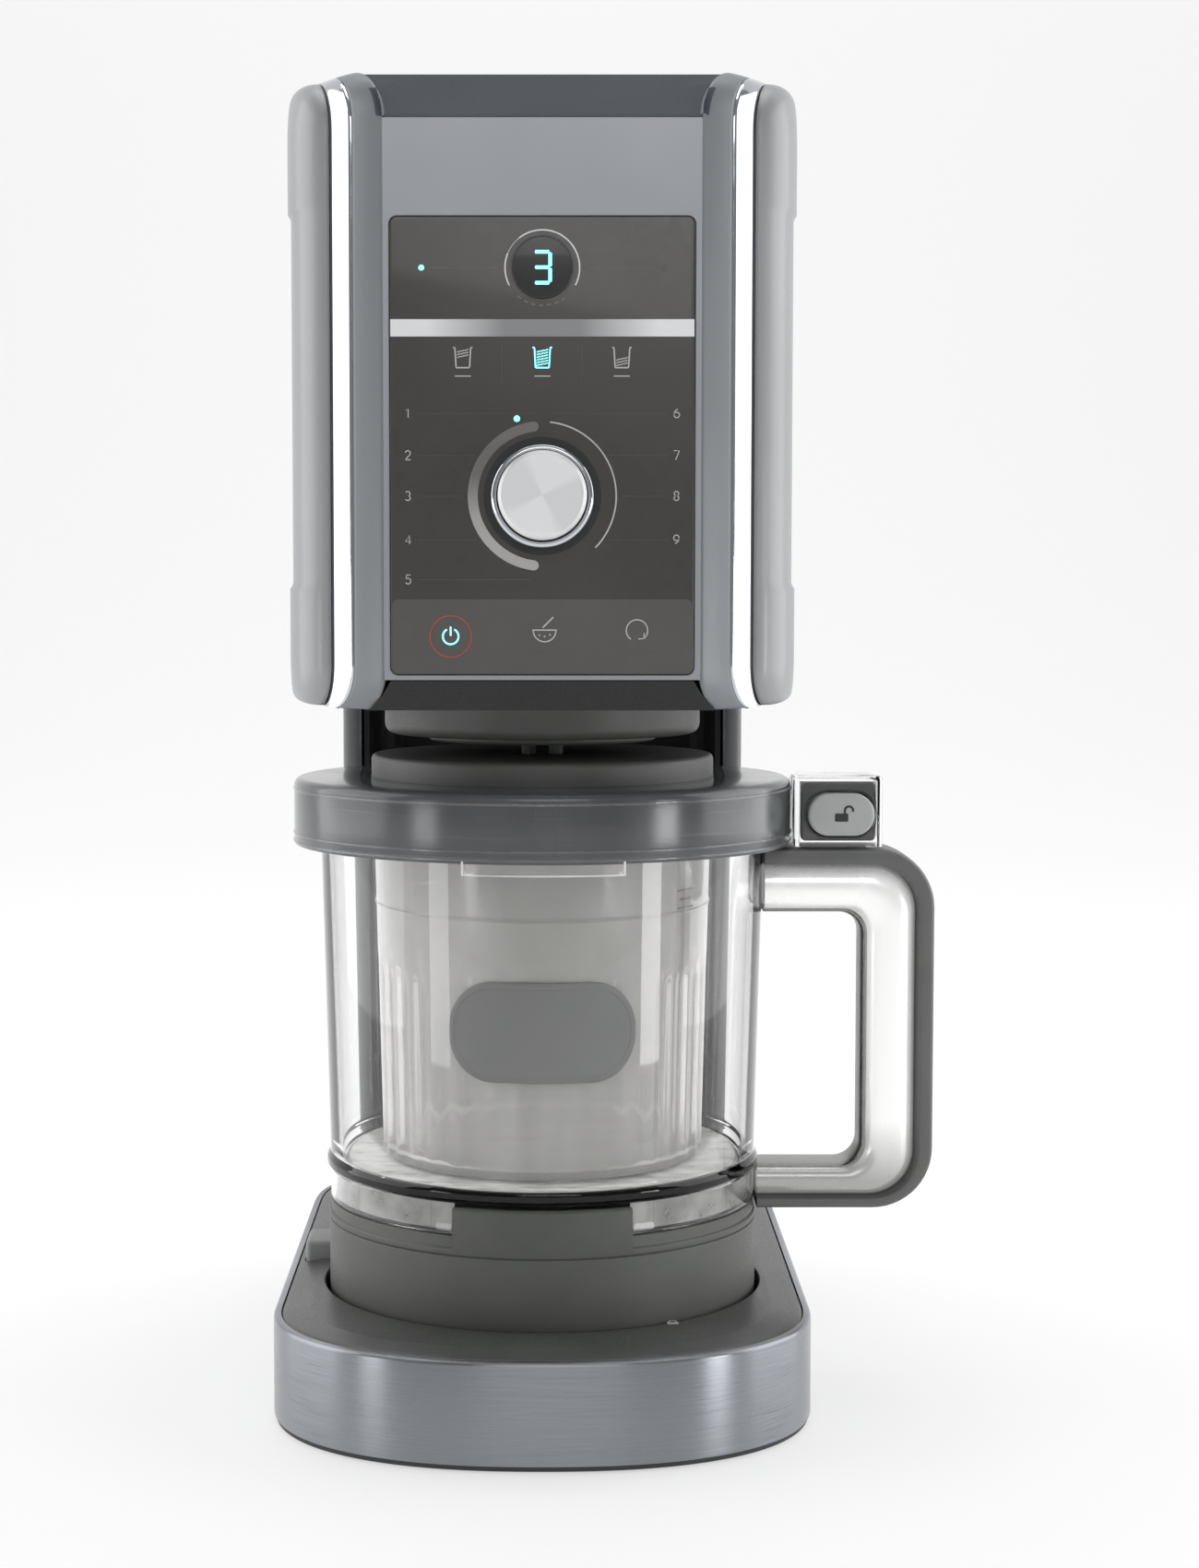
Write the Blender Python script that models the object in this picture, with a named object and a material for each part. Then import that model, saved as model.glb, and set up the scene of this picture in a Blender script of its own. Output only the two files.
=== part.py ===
"""A countertop ice cream maker: a tower that carries a head over a round base.

A twist of the bowl's handle turns the platform, which climbs three cam ramps in the base. In the
head a carriage with the drive motor runs down two guide rods on a lead screw. Its spindle goes
through the lid, picks up the paddle and drives it down the pint.

Sizes are in millimetres and become metres when a mesh is made. X is to the right, Y to the back and
Z up. Outlines are measured from the spindle's axis, which stands at AXIS_X, AXIS_Y in the world.
"""

from math import cos, degrees, hypot, pi, radians, sin

import bmesh
import bpy
from mathutils import Matrix, Vector

# Gaps
GAP = 0.4  # between two pieces that sit against each other
RUNNING = 0.5  # radial, round a piece that turns or slides
CAM_RISE = 1.5  # between a leg's foot and the ramp below it

# Heights
FLOOR_CLEAR = 0.5  # the tray's lower face over the table
STRIP_TOP = 1.7  # the tray's visible edge
TRAY_TOP = 4.2
BAND_TOP = 34.0
PLATE_RISE = 1.4
PLATE_THICK = 4.0
LIFT = 24.5  # how far the platform climbs
PLATFORM_SEAM = 60.0
PLATFORM_FLOOR_THICK = 4.0
PLATFORM_LIP = 4.1  # above the seam
TAB_RISE = 13.0  # above the seam
BOWL_FLOOR = 77.0
BOWL_TOP = 196.0
PINT_TOP = 185.0
LID_SKIRT_Z = 182.0
LID_TOP = 204.0
HUB_TOP = 211.4
COLLAR_Z = 215.8
HOUSING_Z = 218.0
CHIN_Z = 229.0
FACE_LOW = 238.0
BEVEL_RISE = 16.6
HEAD_TOP = 421.6

# Bowl, pint and lid
BOWL_R = 70.5  # at the skirt
BOWL_FLARE = 3.0  # added at the rim
BOWL_WALL = 2.2
BOWL_FLOOR_THICK = 2.5
BEAD = 1.3  # how far the bead round the foot stands out
BEAD_RISE = 1.0  # half the bead's height
PINT_R = 53.5  # at the foot
PINT_FLARE = 2.4
PINT_WALL = 1.6
PINT_RIM = 2.0
LID_MARGIN = 8.5  # from the bowl's rim to the lid's side
LID_WALL = 2.5
HUB_MARGIN = 3.0  # from the pint's foot to the hub's side
HUB_WALL = 2.5
SEAL_THICK = 4.7

# Handle, seen from the front
HANDLE_STAND = 58.8  # from the bowl's foot to the strip's outside
HANDLE_TOP = 180.7
HANDLE_LOW = 60.7
HANDLE_DEPTH = 24.0
STRIP_TOP_THICK = 5.4
STRIP_SIDE = 5.1
STRIP_LOW_THICK = 3.2
GRIP_TOP = 16.0
GRIP_SIDE = 18.6
GRIP_LOW = 10.8
HANDLE_ROUND = 20.0
OPENING_ROUND = 7.5

# Latch box on the lid
LATCH_GAP = 0.5  # from the lid's side
LATCH_WIDTH = 29.0
LATCH_DEPTH = 28.0
LATCH_WALL = 2.0
LID_BUTTON_WIDTH = 21.8
LID_BUTTON_HEIGHT = 13.9
LID_BUTTON_TRAVEL = 3.0

# Base
PLATFORM_MARGIN = 0.5  # from the bowl's foot to the platform's side
PLATFORM_WALL = 2.5
BASE_RIM = 15.5  # from the platform to the base's side
BASE_FRONT_RIM = 31.0
BAND_WALL = 2.4
PLATEAU_INSET = 11.0
FRONT_LENGTH = 68.0  # how far the round front runs back
FRONT_POWER = 2.3
REAR_LENGTH = 65.0
REAR_POWER = 3.0
BAY_DEPTH = 96.0  # from the column's front edge to the base's back
WELL_GAP = 1.5
TAB_HALF = 29.0
FOOT_R = 9.0
FOOT_HEIGHT = 2.2
FOOT_INSET = 28.5  # from the base's side
FOOT_FRONT_INSET = 50.0
FOOT_REAR_INSET = 56.0
CAM_INSET = 11.5  # from the platform's side to the cam's inside
CAM_WALL = 5.0
CAM_FLOOR = 2.0
SLEEVE_INSET = 18.0  # from the platform's side
SLEEVE_WALL = 3.0
RELEASE_INSET = 5.0  # from the base's side
RELEASE_WIDTH = 12.5
RELEASE_Y = 23.7
RELEASE_LENGTH = 19.8
RELEASE_PROUD = 1.9  # over the deck when it is pressed
RELEASE_TRAVEL = 4.0
RELEASE_STEM = 14.0  # the button's lower end over the table
SPRING_R = 4.0
SPRING_WIRE = 0.5
SPRING_TURNS = 4
GLAND_R = 6.0
GLAND_BORE = 3.5
GLAND_X = 25.0
GLAND_Z = 17.0

# Column
COLUMN_INSET = 14.5  # from the base's side
COLUMN_WALL = 7.0
COLUMN_BACK_INSET = 11.0
LINER_WALL = 2.0
LINER_REACH = 18.0  # how far its back lies behind the start of the rear curve

# Head
FACE_MARGIN_Y = 3.0  # from the lid's front to the head's face
PANEL_HALF = 45.4
PANEL_RISE = 2.0  # over the face's lower edge
PANEL_DROP = 29.0  # below the bevel
PANEL_THICK = 2.5
PANEL_ROUND = 2.2
FACE_MARGIN = 2.1
CHEEK_WIDTH = 9.5
CHEEK_BACK = 5.5
TRIM_WIDTH = 7.0
TRIM_BACK = 7.5
SIDE_BACK = 26.6
HEAD_INSET = 7.5  # from the base's side
SHELL_WALL = 2.4
BEVEL_BACK = 25.0
BEVEL_HALF = 54.4
BEVEL_CHEEK = 3.4
COVER_THICK = 2.5
CHIN_TOP_HALF = 45.0
CHIN_LOW_HALF = 52.0
VENT_COUNT = 6

# Dial and display
DIAL_RISE = 53.3  # over the panel's lower edge
DIAL_R = 13.2
DIAL_LENGTH = 11.0
DIAL_STAND = 2.2  # its back face in front of the panel
DIAL_TRAVEL = 1.5
BEZEL_R = 15.5
DISPLAY_DROP = 15.1  # below the panel's upper edge
DISPLAY_R = 11.2
SHAFT_R = 3.0
ENCODER_SIDE = 14.0
ENCODER_DEPTH = 7.0
BOARD_THICK = 1.5

# Drive
PLUNGE = 100.0
SPINDLE_R = 7.0
SPINDLE_TIP_R = 5.5
SPINDLE_NECK_R = 5.0
HOUSING_R = 52.0
COLLAR_R = 37.7
BEARING_WALL = 4.7
CHASSIS_THICK = 3.0
CHASSIS_Z = 241.5
GEAR_TEETH = 36
PINION_TEETH = 12
GEAR_MODULE = 40.0 / 24.0
GEAR_WIDTH = 9.0
TRAY_WALL = 2.5
CARRIAGE_THICK = 3.0
MOTOR_R = 32.0
ROD_R = 4.0
ROD_X = 50.0
ROD_Y = 20.0
SCREW_R = 4.0
SCREW_Y = 92.0
JOURNAL_R = 2.5
NUT_R = 9.0
NUT_HEIGHT = 12.0
LIFT_MOTOR_R = 16.0
LIFT_MOTOR_HEIGHT = 28.0

# Paddle and bush
BUSH_WALL = 4.0
BUSH_HEIGHT = 4.5
PADDLE_INSET = 4.0  # from the pint's foot to the scrapers
PADDLE_HUB_R = 10.5
PADDLE_HEIGHT = 18.7
BLADE_THICK = 3.0
BLADE_COUNT = 3
BLADE_TILT = 28.0

# Roundness
LARGE = 40  # sides of a large turned piece
SMALL = 20

# What follows from the sizes above
PLATFORM_R = BOWL_R + PLATFORM_MARGIN
LID_R = BOWL_R + BOWL_FLARE + LID_MARGIN
HUB_R = PINT_R + HUB_MARGIN
PADDLE_R = PINT_R - PADDLE_INSET
HANDLE_REACH = BOWL_R + HANDLE_STAND
LATCH_X0 = LID_R + LATCH_GAP
CAM_R = PLATFORM_R - CAM_INSET
SLEEVE_R = PLATFORM_R - SLEEVE_INSET
BASE_HALF = PLATFORM_R + BASE_RIM
BASE_FRONT = -(PLATFORM_R + BASE_FRONT_RIM)
COLUMN_FRONT = LID_R + 3.0
BASE_BACK = COLUMN_FRONT + BAY_DEPTH
PLATE_TOP = BAND_TOP + PLATE_RISE
FOOT_X = BASE_HALF - FOOT_INSET
FOOT_FRONT_Y = BASE_FRONT + FOOT_FRONT_INSET
FOOT_REAR_Y = BASE_BACK - FOOT_REAR_INSET
RELEASE_X = RELEASE_INSET - BASE_HALF
RELEASE_TOP = PLATE_TOP + RELEASE_TRAVEL + RELEASE_PROUD
COLUMN_HALF = BASE_HALF - COLUMN_INSET
HEAD_HALF = BASE_HALF - HEAD_INSET
FACE_Y = -(LID_R + FACE_MARGIN_Y)
FACE_HIGH = HEAD_TOP - BEVEL_RISE
PANEL_LOW = FACE_LOW + PANEL_RISE
PANEL_HIGH = FACE_HIGH - PANEL_DROP
DIAL_Z = PANEL_LOW + DIAL_RISE
DISPLAY_Z = PANEL_HIGH - DISPLAY_DROP
FACE_HALF = PANEL_HALF + FACE_MARGIN
CHEEK_HALF = FACE_HALF + CHEEK_WIDTH
TRIM_HALF = CHEEK_HALF + TRIM_WIDTH
CHEEK_Y = FACE_Y + CHEEK_BACK
TRIM_Y = CHEEK_Y + TRIM_BACK
SIDE_Y = TRIM_Y + SIDE_BACK
REAR_Y = BASE_BACK - REAR_LENGTH
WALL_LOW = CHIN_Z + COVER_THICK + GAP
WALL_HIGH = HEAD_TOP - COVER_THICK - GAP
PLATFORM_LOW = PLATFORM_SEAM - LIFT - 5.0
FLOOR_LOW = PLATFORM_SEAM - PLATFORM_FLOOR_THICK
CAM_LOW = TRAY_TOP + GAP
CAM_TOP = CAM_LOW + CAM_FLOOR + LIFT
HUB_LOW = PINT_TOP + 1.0
PADDLE_TOP = HUB_TOP - HUB_WALL - 3.2
TRAY_Z = CHASSIS_Z + CHASSIS_THICK + GAP + PLUNGE
TRAY_HEIGHT = TRAY_WALL + GEAR_WIDTH + 4.0
CARRIAGE_Z = TRAY_Z + TRAY_HEIGHT + GAP
MOTOR_Z = CARRIAGE_Z + CARRIAGE_THICK + GAP
UPPER_Z = WALL_HIGH - CHASSIS_THICK - 1.0
GEAR_R = GEAR_MODULE * GEAR_TEETH / 2
PINION_R = GEAR_MODULE * PINION_TEETH / 2
MOTOR_Y = GEAR_R + PINION_R
BUSH_R = SPINDLE_R + RUNNING + BUSH_WALL
AXIS_X = -(HANDLE_REACH - BASE_HALF) / 2
AXIS_Y = -(BASE_BACK + BASE_FRONT) / 2

FINISHES = {  # name: colour (sRGB), roughness, metallic
    "silver_paint": ("8F9296", 0.38, 0.3),
    "side_paint": ("B0B3B5", 0.42, 0.2),
    "chrome": ("E6E9EB", 0.08, 1.0),
    "dark_plastic": ("555753", 0.5, 0.0),
    "black_plastic": ("2E302F", 0.55, 0.0),
    "panel_black": ("4A4845", 0.3, 0.0),
    "band_metal": ("8B8F95", 0.3, 0.9),
    "clear_plastic": ("E4E8EA", 0.1, 0.0),
    "smoke_plastic": ("8E9498", 0.15, 0.0),
    "grey_plastic": ("8B8D8E", 0.45, 0.0),
    "brushed_aluminium": ("C9CBCC", 0.3, 1.0),
    "steel": ("B5B8BA", 0.25, 1.0),
    "motor_case": ("3A3C3D", 0.4, 0.8),
    "rubber": ("2A2B2B", 0.8, 0.0),
    "circuit_board": ("2F5A3C", 0.5, 0.0),
}


def linear(channel):
    value = channel / 255
    return value / 12.92 if value <= 0.04045 else ((value + 0.055) / 1.055) ** 2.4


def finish(name):
    """The material of this name, made the first time it is asked for."""
    if name in bpy.data.materials:
        return bpy.data.materials[name]
    colour, roughness, metallic = FINISHES[name]
    made = bpy.data.materials.new(name)
    made.use_nodes = True
    shader = made.node_tree.nodes["Principled BSDF"]
    rgb = [linear(int(colour[i : i + 2], 16)) for i in (0, 2, 4)]
    shader.inputs["Base Color"].default_value = (*rgb, 1)
    shader.inputs["Roughness"].default_value = roughness
    shader.inputs["Metallic"].default_value = metallic
    return made


# Meshes


def loft(rings, loop=False):
    """Rings of equally many points joined in order, with flat ends, or closed on itself as a loop."""
    bm = bmesh.new()
    rows = [[bm.verts.new(point) for point in ring] for ring in rings]
    pairs = list(zip(rows, rows[1:]))
    if loop:
        pairs.append((rows[-1], rows[0]))
    count = len(rows[0])
    for low, high in pairs:
        for i in range(count):
            j = (i + 1) % count
            bm.faces.new((low[i], low[j], high[j], high[i]))
    if not loop:
        bm.faces.new(rows[0][::-1])
        bm.faces.new(rows[-1])
    return bm


def prism(outline, low, high, axis="Z"):
    """An outline pushed from low to high along Z, Y or X. It is drawn in XY, XZ or YZ."""
    spread = {
        "Z": lambda p, at: (p[0], p[1], at),
        "Y": lambda p, at: (p[0], at, p[1]),
        "X": lambda p, at: (at, p[0], p[1]),
    }[axis]
    return loft([[spread(p, at) for p in outline] for at in (low, high)])


def box(low, high):
    corners = [(low[0], low[1]), (high[0], low[1]), (high[0], high[1]), (low[0], high[1])]
    return prism(corners, low[2], high[2])


def turned(profile, steps=LARGE, centre=(0, 0)):
    """A closed (radius, z) profile spun about Z at the centre."""
    bm = bmesh.new()
    verts = [bm.verts.new((centre[0] + r, centre[1], z)) for r, z in profile]
    edges = []
    for i, vert in enumerate(verts):
        following = (i + 1) % len(verts)
        if profile[i][0] > 0 or profile[following][0] > 0:
            edges.append(bm.edges.new((vert, verts[following])))
    bmesh.ops.spin(
        bm,
        geom=verts + edges,
        cent=(*centre, 0),
        axis=(0, 0, 1),
        angle=2 * pi,
        steps=steps,
        use_merge=True,
    )
    bmesh.ops.remove_doubles(bm, verts=bm.verts, dist=1e-4)
    return bm


def lay_forward(bm, x, y, z):
    """A piece turned about Z laid with its +Z towards the front, at this place."""
    move = Matrix.Translation((x, y, z)) @ Matrix.Rotation(pi / 2, 4, "X")
    bmesh.ops.transform(bm, matrix=move, verts=bm.verts)
    return bm


def joined(*parts):
    """Several separate closed shapes in one mesh, to cut or add together."""
    whole = bmesh.new()
    for part in parts:
        mesh = bpy.data.meshes.new("shape")
        part.to_mesh(mesh)
        part.free()
        whole.from_mesh(mesh)
        bpy.data.meshes.remove(mesh)
    return whole


def mesh_object(name, bm, pivot=(0, 0, 0)):
    bmesh.ops.recalc_face_normals(bm, faces=bm.faces)
    move = Matrix.Scale(0.001, 4) @ Matrix.Translation([-c for c in pivot])
    bmesh.ops.transform(bm, matrix=move, verts=bm.verts)
    mesh = bpy.data.meshes.new(name)
    bm.to_mesh(mesh)
    bm.free()
    mesh.shade_smooth()
    mesh.set_sharp_from_angle(angle=radians(35))
    made = bpy.data.objects.new(name, mesh)
    made.location = [c * 0.001 for c in pivot]
    made.parent = bpy.data.objects["spindle_axis"]
    bpy.context.scene.collection.objects.link(made)
    return made


def combine(made, label, shape, operation="DIFFERENCE", pivot=(0, 0, 0)):
    """Cuts a shape from a node, or joins it to the node. The shape stays as a hidden tool."""
    tool = mesh_object(f"{made.name}_{label}", shape, pivot)
    tool.hide_render = True
    tool.display_type = "WIRE"
    boolean = made.modifiers.new(label, "BOOLEAN")
    boolean.operation = operation
    boolean.object = tool
    boolean.solver = "EXACT"


def piece(name, bm, finish_name, pivot=(0, 0, 0), cuts=None, adds=None):
    """A node. Its origin is at the pivot. Adds are joined to its mesh and cuts are taken from it."""
    made = mesh_object(name, bm, pivot)
    made.data.materials.append(finish(finish_name))
    if adds is not None:
        combine(made, "adds", adds, "UNION", pivot)
    if cuts is not None:
        combine(made, "cuts", cuts, "DIFFERENCE", pivot)
    return made


# Outlines


def arc(x, y, radius, start, end, count):
    """Points round a circle between two angles in degrees, both ends included."""
    angles = [radians(start + (end - start) * i / count) for i in range(count + 1)]
    return [(x + radius * cos(a), y + radius * sin(a)) for a in angles]


def rounded_box(x, y, half_x, half_y, radius, count=4):
    corners = ((1, 1, 0), (-1, 1, 90), (-1, -1, 180), (1, -1, 270))
    outline = []
    for sx, sy, start in corners:
        cx, cy = x + sx * (half_x - radius), y + sy * (half_y - radius)
        outline += arc(cx, cy, radius, start, start + 90, count)
    return outline


def sector(inner, outer, start, end, count=6):
    """A piece of a ring between two angles in degrees."""
    return arc(0, 0, outer, start, end, count) + arc(0, 0, inner, end, start, count)


def rear_quarter(half, length, y, count=9):
    """From (half, y) round to (0, y + length), squarer than an ellipse."""
    points = []
    for i in range(count + 1):
        angle = pi / 2 * i / count
        points.append((half * cos(angle) ** (2 / REAR_POWER), y + length * sin(angle) ** (2 / REAR_POWER)))
    points[-1] = (0.0, y + length)
    return points


def whole(right):
    """The closed outline whose right half runs from the front's middle to the back's."""
    return right + [(-x, y) for x, y in right[-2:0:-1]]


def base_outline(inset):
    half = BASE_HALF - inset
    reach = FRONT_LENGTH - inset
    start_y = BASE_FRONT + FRONT_LENGTH
    front = []
    for i in range(13):
        angle = pi / 2 * i / 12
        x = half * sin(angle) ** (2 / FRONT_POWER)
        front.append((x, start_y - reach * cos(angle) ** (2 / FRONT_POWER)))
    front[-1] = (half, start_y)
    return whole(front + rear_quarter(half, REAR_LENGTH - inset, REAR_Y))


def at_height(outline, z):
    return [(x, y, z) for x, y in outline]


def offset(curve, distance):
    """An open curve moved to its left by this distance."""
    moved = []
    for i, (x, y) in enumerate(curve):
        before = curve[max(i - 1, 0)]
        after = curve[min(i + 1, len(curve) - 1)]
        dx, dy = after[0] - before[0], after[1] - before[1]
        length = hypot(dx, dy)
        moved.append((x - dy / length * distance, y + dx / length * distance))
    return moved


def strip(curve, wall):
    """The outline of a wall of this thickness on the left of an open curve."""
    return curve + offset(curve, wall)[::-1]


def mirrored(outline):
    return [(-x, y) for x, y in outline]


# Base


def base():
    inner = BAND_WALL + GAP
    tray_levels = ((FLOOR_CLEAR, 0), (STRIP_TOP, 0), (STRIP_TOP, inner), (TRAY_TOP, inner))
    tray = loft([at_height(base_outline(inset), z) for z, inset in tray_levels])
    places = [(sx * FOOT_X, y) for sx in (-1, 1) for y in (FOOT_FRONT_Y, FOOT_REAR_Y)]
    pocket_r, pocket_top = FOOT_R + GAP, FOOT_HEIGHT + GAP
    pocket = [(0, -1), (pocket_r, -1), (pocket_r, pocket_top), (0, pocket_top)]
    pockets = joined(*(turned(pocket, SMALL, place) for place in places))
    piece("base_tray", tray, "black_plastic", cuts=pockets)
    foot = [(0, 0), (FOOT_R - 1, 0), (FOOT_R, 1), (FOOT_R, FOOT_HEIGHT), (0, FOOT_HEIGHT)]
    for (x, y), name in zip(places, ("front_left", "rear_left", "front_right", "rear_right")):
        piece(f"foot_{name}", turned(foot, SMALL, (x, y)), "rubber")
    band_low = STRIP_TOP + GAP
    levels = ((band_low, 0), (BAND_TOP, 0), (BAND_TOP, BAND_WALL), (band_low, BAND_WALL))
    band = loft([at_height(base_outline(inset), z) for z, inset in levels], loop=True)
    gland_hole = turned([(0, -20), (GLAND_R + GAP, -20), (GLAND_R + GAP, 20), (0, 20)], SMALL)
    gland_place = (GLAND_X, BASE_BACK - 5, GLAND_Z)
    piece("base_band", band, "band_metal", cuts=lay_forward(gland_hole, *gland_place))
    gland = turned([(GLAND_BORE, -5), (GLAND_R, -5), (GLAND_R, 4), (GLAND_BORE, 4)], SMALL)
    piece("cord_gland", lay_forward(gland, *gland_place), "rubber")


def base_plate():
    """The deck inside the band. The well for the platform and the release button's slot are cut from it."""
    edge = BAND_WALL + GAP
    levels = (
        (BAND_TOP - PLATE_THICK, edge),
        (BAND_TOP - 0.6, edge),
        (BAND_TOP, edge + 0.6),
        (PLATE_TOP, PLATEAU_INSET),
    )
    plate = loft([at_height(base_outline(inset), z) for z, inset in levels])
    well_r = PLATFORM_R + WELL_GAP
    well = turned([(0, 0), (well_r, 0), (well_r, 60), (0, 60)], LARGE)
    slot_low = (RELEASE_X - RUNNING, RELEASE_Y - RUNNING, -1)
    slot_high = (RELEASE_X + RELEASE_WIDTH + 8, RELEASE_Y + RELEASE_LENGTH + RUNNING, 61)
    made = piece("base_top_plate", plate, "dark_plastic", cuts=well)
    combine(made, "slot", box(slot_low, slot_high))


def ramp_height(angle):
    """The cam's top at an angle in degrees: a landing, a fall over a quarter turn and a low landing."""
    fallen = (-angle) % 120
    if fallen < 2 or fallen > 112:
        return CAM_TOP
    return CAM_TOP - LIFT * min((fallen - 2) / 90, 1)


def cam_ring():
    """A fixed ring whose top is three helical ramps, one under each leg of the platform."""
    steps = (0, 2, 8, 8.5, 18, 28, 43, 58, 73, 88, 103, 118)
    edges = [start + step for start in (0, 120, 240) for step in steps]
    rings = []
    for angle in edges:
        c, s = cos(radians(angle)), sin(radians(angle))
        top = ramp_height(angle)
        outer = CAM_R + CAM_WALL
        section = ((CAM_R, CAM_LOW), (outer, CAM_LOW), (outer, top), (CAM_R, top))
        rings.append([(r * c, r * s, z) for r, z in section])
    piece("cam_ring", loft(rings, loop=True), "grey_plastic")


def release_button():
    low = (RELEASE_X, RELEASE_Y, RELEASE_STEM)
    high = (RELEASE_X + RELEASE_WIDTH, RELEASE_Y + RELEASE_LENGTH, RELEASE_TOP)
    pivot = ((low[0] + high[0]) / 2, (low[1] + high[1]) / 2, low[2])
    half_x, half_y = RELEASE_WIDTH / 2, RELEASE_LENGTH / 2
    body = rounded_box(pivot[0], pivot[1], half_x, half_y, 1.5)
    cap = rounded_box(pivot[0], pivot[1], half_x - 0.8, half_y - 0.8, 1.2)
    rings = [at_height(body, low[2]), at_height(body, high[2] - 0.8), at_height(cap, high[2])]
    piece("release_button", loft(rings), "grey_plastic", pivot)
    spring_low = TRAY_TOP + GAP
    spring_height = RELEASE_STEM - GAP - spring_low
    rings = []
    for i in range(SPRING_TURNS * 10 + 1):
        turn = i / 10
        angle = 2 * pi * turn
        z = spring_low + SPRING_WIRE + (spring_height - 2 * SPRING_WIRE) * turn / SPRING_TURNS
        centre = Vector((pivot[0] + SPRING_R * cos(angle), pivot[1] + SPRING_R * sin(angle), z))
        out = Vector((cos(angle), sin(angle), 0))
        sides = [radians(60 * k) for k in range(6)]
        rings.append([centre + SPRING_WIRE * (cos(a) * out + sin(a) * Vector((0, 0, 1))) for a in sides])
    piece("release_spring", loft(rings), "steel", (pivot[0], pivot[1], spring_low))


# Platform, bowl and pint


def platform():
    sleeve_low = TRAY_TOP + GAP
    sleeve_top = FLOOR_LOW - LIFT - GAP
    inner = SLEEVE_R - SLEEVE_WALL
    sleeve = [
        (inner - 8, sleeve_low),
        (SLEEVE_R, sleeve_low),
        (SLEEVE_R, sleeve_top),
        (inner, sleeve_top),
        (inner, sleeve_low + 2),
        (inner - 8, sleeve_low + 2),
    ]
    piece("lift_sleeve", turned(sleeve), "grey_plastic")
    skirt_r = SLEEVE_R + RUNNING
    skirt_low = sleeve_low + LIFT + GAP
    wall_in = PLATFORM_R - PLATFORM_WALL
    lip_r = PLATFORM_R - 0.6
    lip_z = PLATFORM_SEAM + PLATFORM_LIP
    profile = [
        (PLATFORM_R, PLATFORM_LOW),
        (PLATFORM_R, PLATFORM_SEAM),
        (lip_r, PLATFORM_SEAM + 0.6),
        (lip_r, lip_z),
        (wall_in, lip_z),
        (wall_in, PLATFORM_SEAM),
        (0, PLATFORM_SEAM),
        (0, FLOOR_LOW),
        (skirt_r, FLOOR_LOW),
        (skirt_r, skirt_low),
        (skirt_r + 2.4, skirt_low),
        (skirt_r + 2.4, FLOOR_LOW),
        (wall_in, FLOOR_LOW),
        (wall_in, PLATFORM_LOW),
    ]
    half_angle = degrees(TAB_HALF / PLATFORM_R)
    tab = sector(wall_in + 0.1, PLATFORM_R - 0.05, -90 - half_angle, -90 + half_angle, 10)
    extras = [prism(tab, PLATFORM_SEAM - 2, PLATFORM_SEAM + TAB_RISE)]
    leg_r = CAM_R + CAM_WALL / 2
    for turn in (0, 120, 240):
        leg = sector(leg_r - 1.5, leg_r + 1.5, turn - 3, turn + 3, 2)
        extras.append(prism(leg, CAM_TOP + CAM_RISE, FLOOR_LOW + 1))
    piece("platform_ring", turned(profile), "dark_plastic", adds=joined(*extras))


def bowl_radius(z):
    """The bowl's outer radius, which grows steadily from its floor to its rim."""
    return BOWL_R + BOWL_FLARE * max(z - BOWL_FLOOR, 0) / (BOWL_TOP - BOWL_FLOOR)


def outer_bowl():
    """The bowl's wall, and its foot: the floor with a bead round it and a skirt notched for the tab."""
    inside = BOWL_R - BOWL_WALL
    wall_low = BOWL_FLOOR + BEAD_RISE + GAP
    wall = [
        (bowl_radius(BOWL_TOP), BOWL_TOP),
        (bowl_radius(wall_low), wall_low),
        (bowl_radius(wall_low) - BOWL_WALL, wall_low),
        (bowl_radius(BOWL_TOP) - BOWL_WALL, BOWL_TOP),
    ]
    piece("outer_bowl", turned(wall), "clear_plastic")
    skirt_low = PLATFORM_SEAM + PLATFORM_LIP + GAP
    under = BOWL_FLOOR - BOWL_FLOOR_THICK
    foot = [
        (BOWL_R + BEAD, BOWL_FLOOR + BEAD_RISE),
        (BOWL_R + BEAD, BOWL_FLOOR - BEAD_RISE),
        (BOWL_R, BOWL_FLOOR - BEAD_RISE - 1),
        (BOWL_R, skirt_low),
        (inside, skirt_low),
        (inside, under),
        (0, under),
        (0, BOWL_FLOOR),
        (inside, BOWL_FLOOR),
        (inside, BOWL_FLOOR + BEAD_RISE),
    ]
    notch_half = TAB_HALF + GAP
    notch_top = PLATFORM_SEAM + TAB_RISE + GAP
    notch = box((-notch_half, -BOWL_R - 5, PLATFORM_SEAM), (notch_half, -BOWL_R * 0.8, notch_top))
    piece("bowl_foot", turned(foot), "clear_plastic", cuts=notch)


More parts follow.
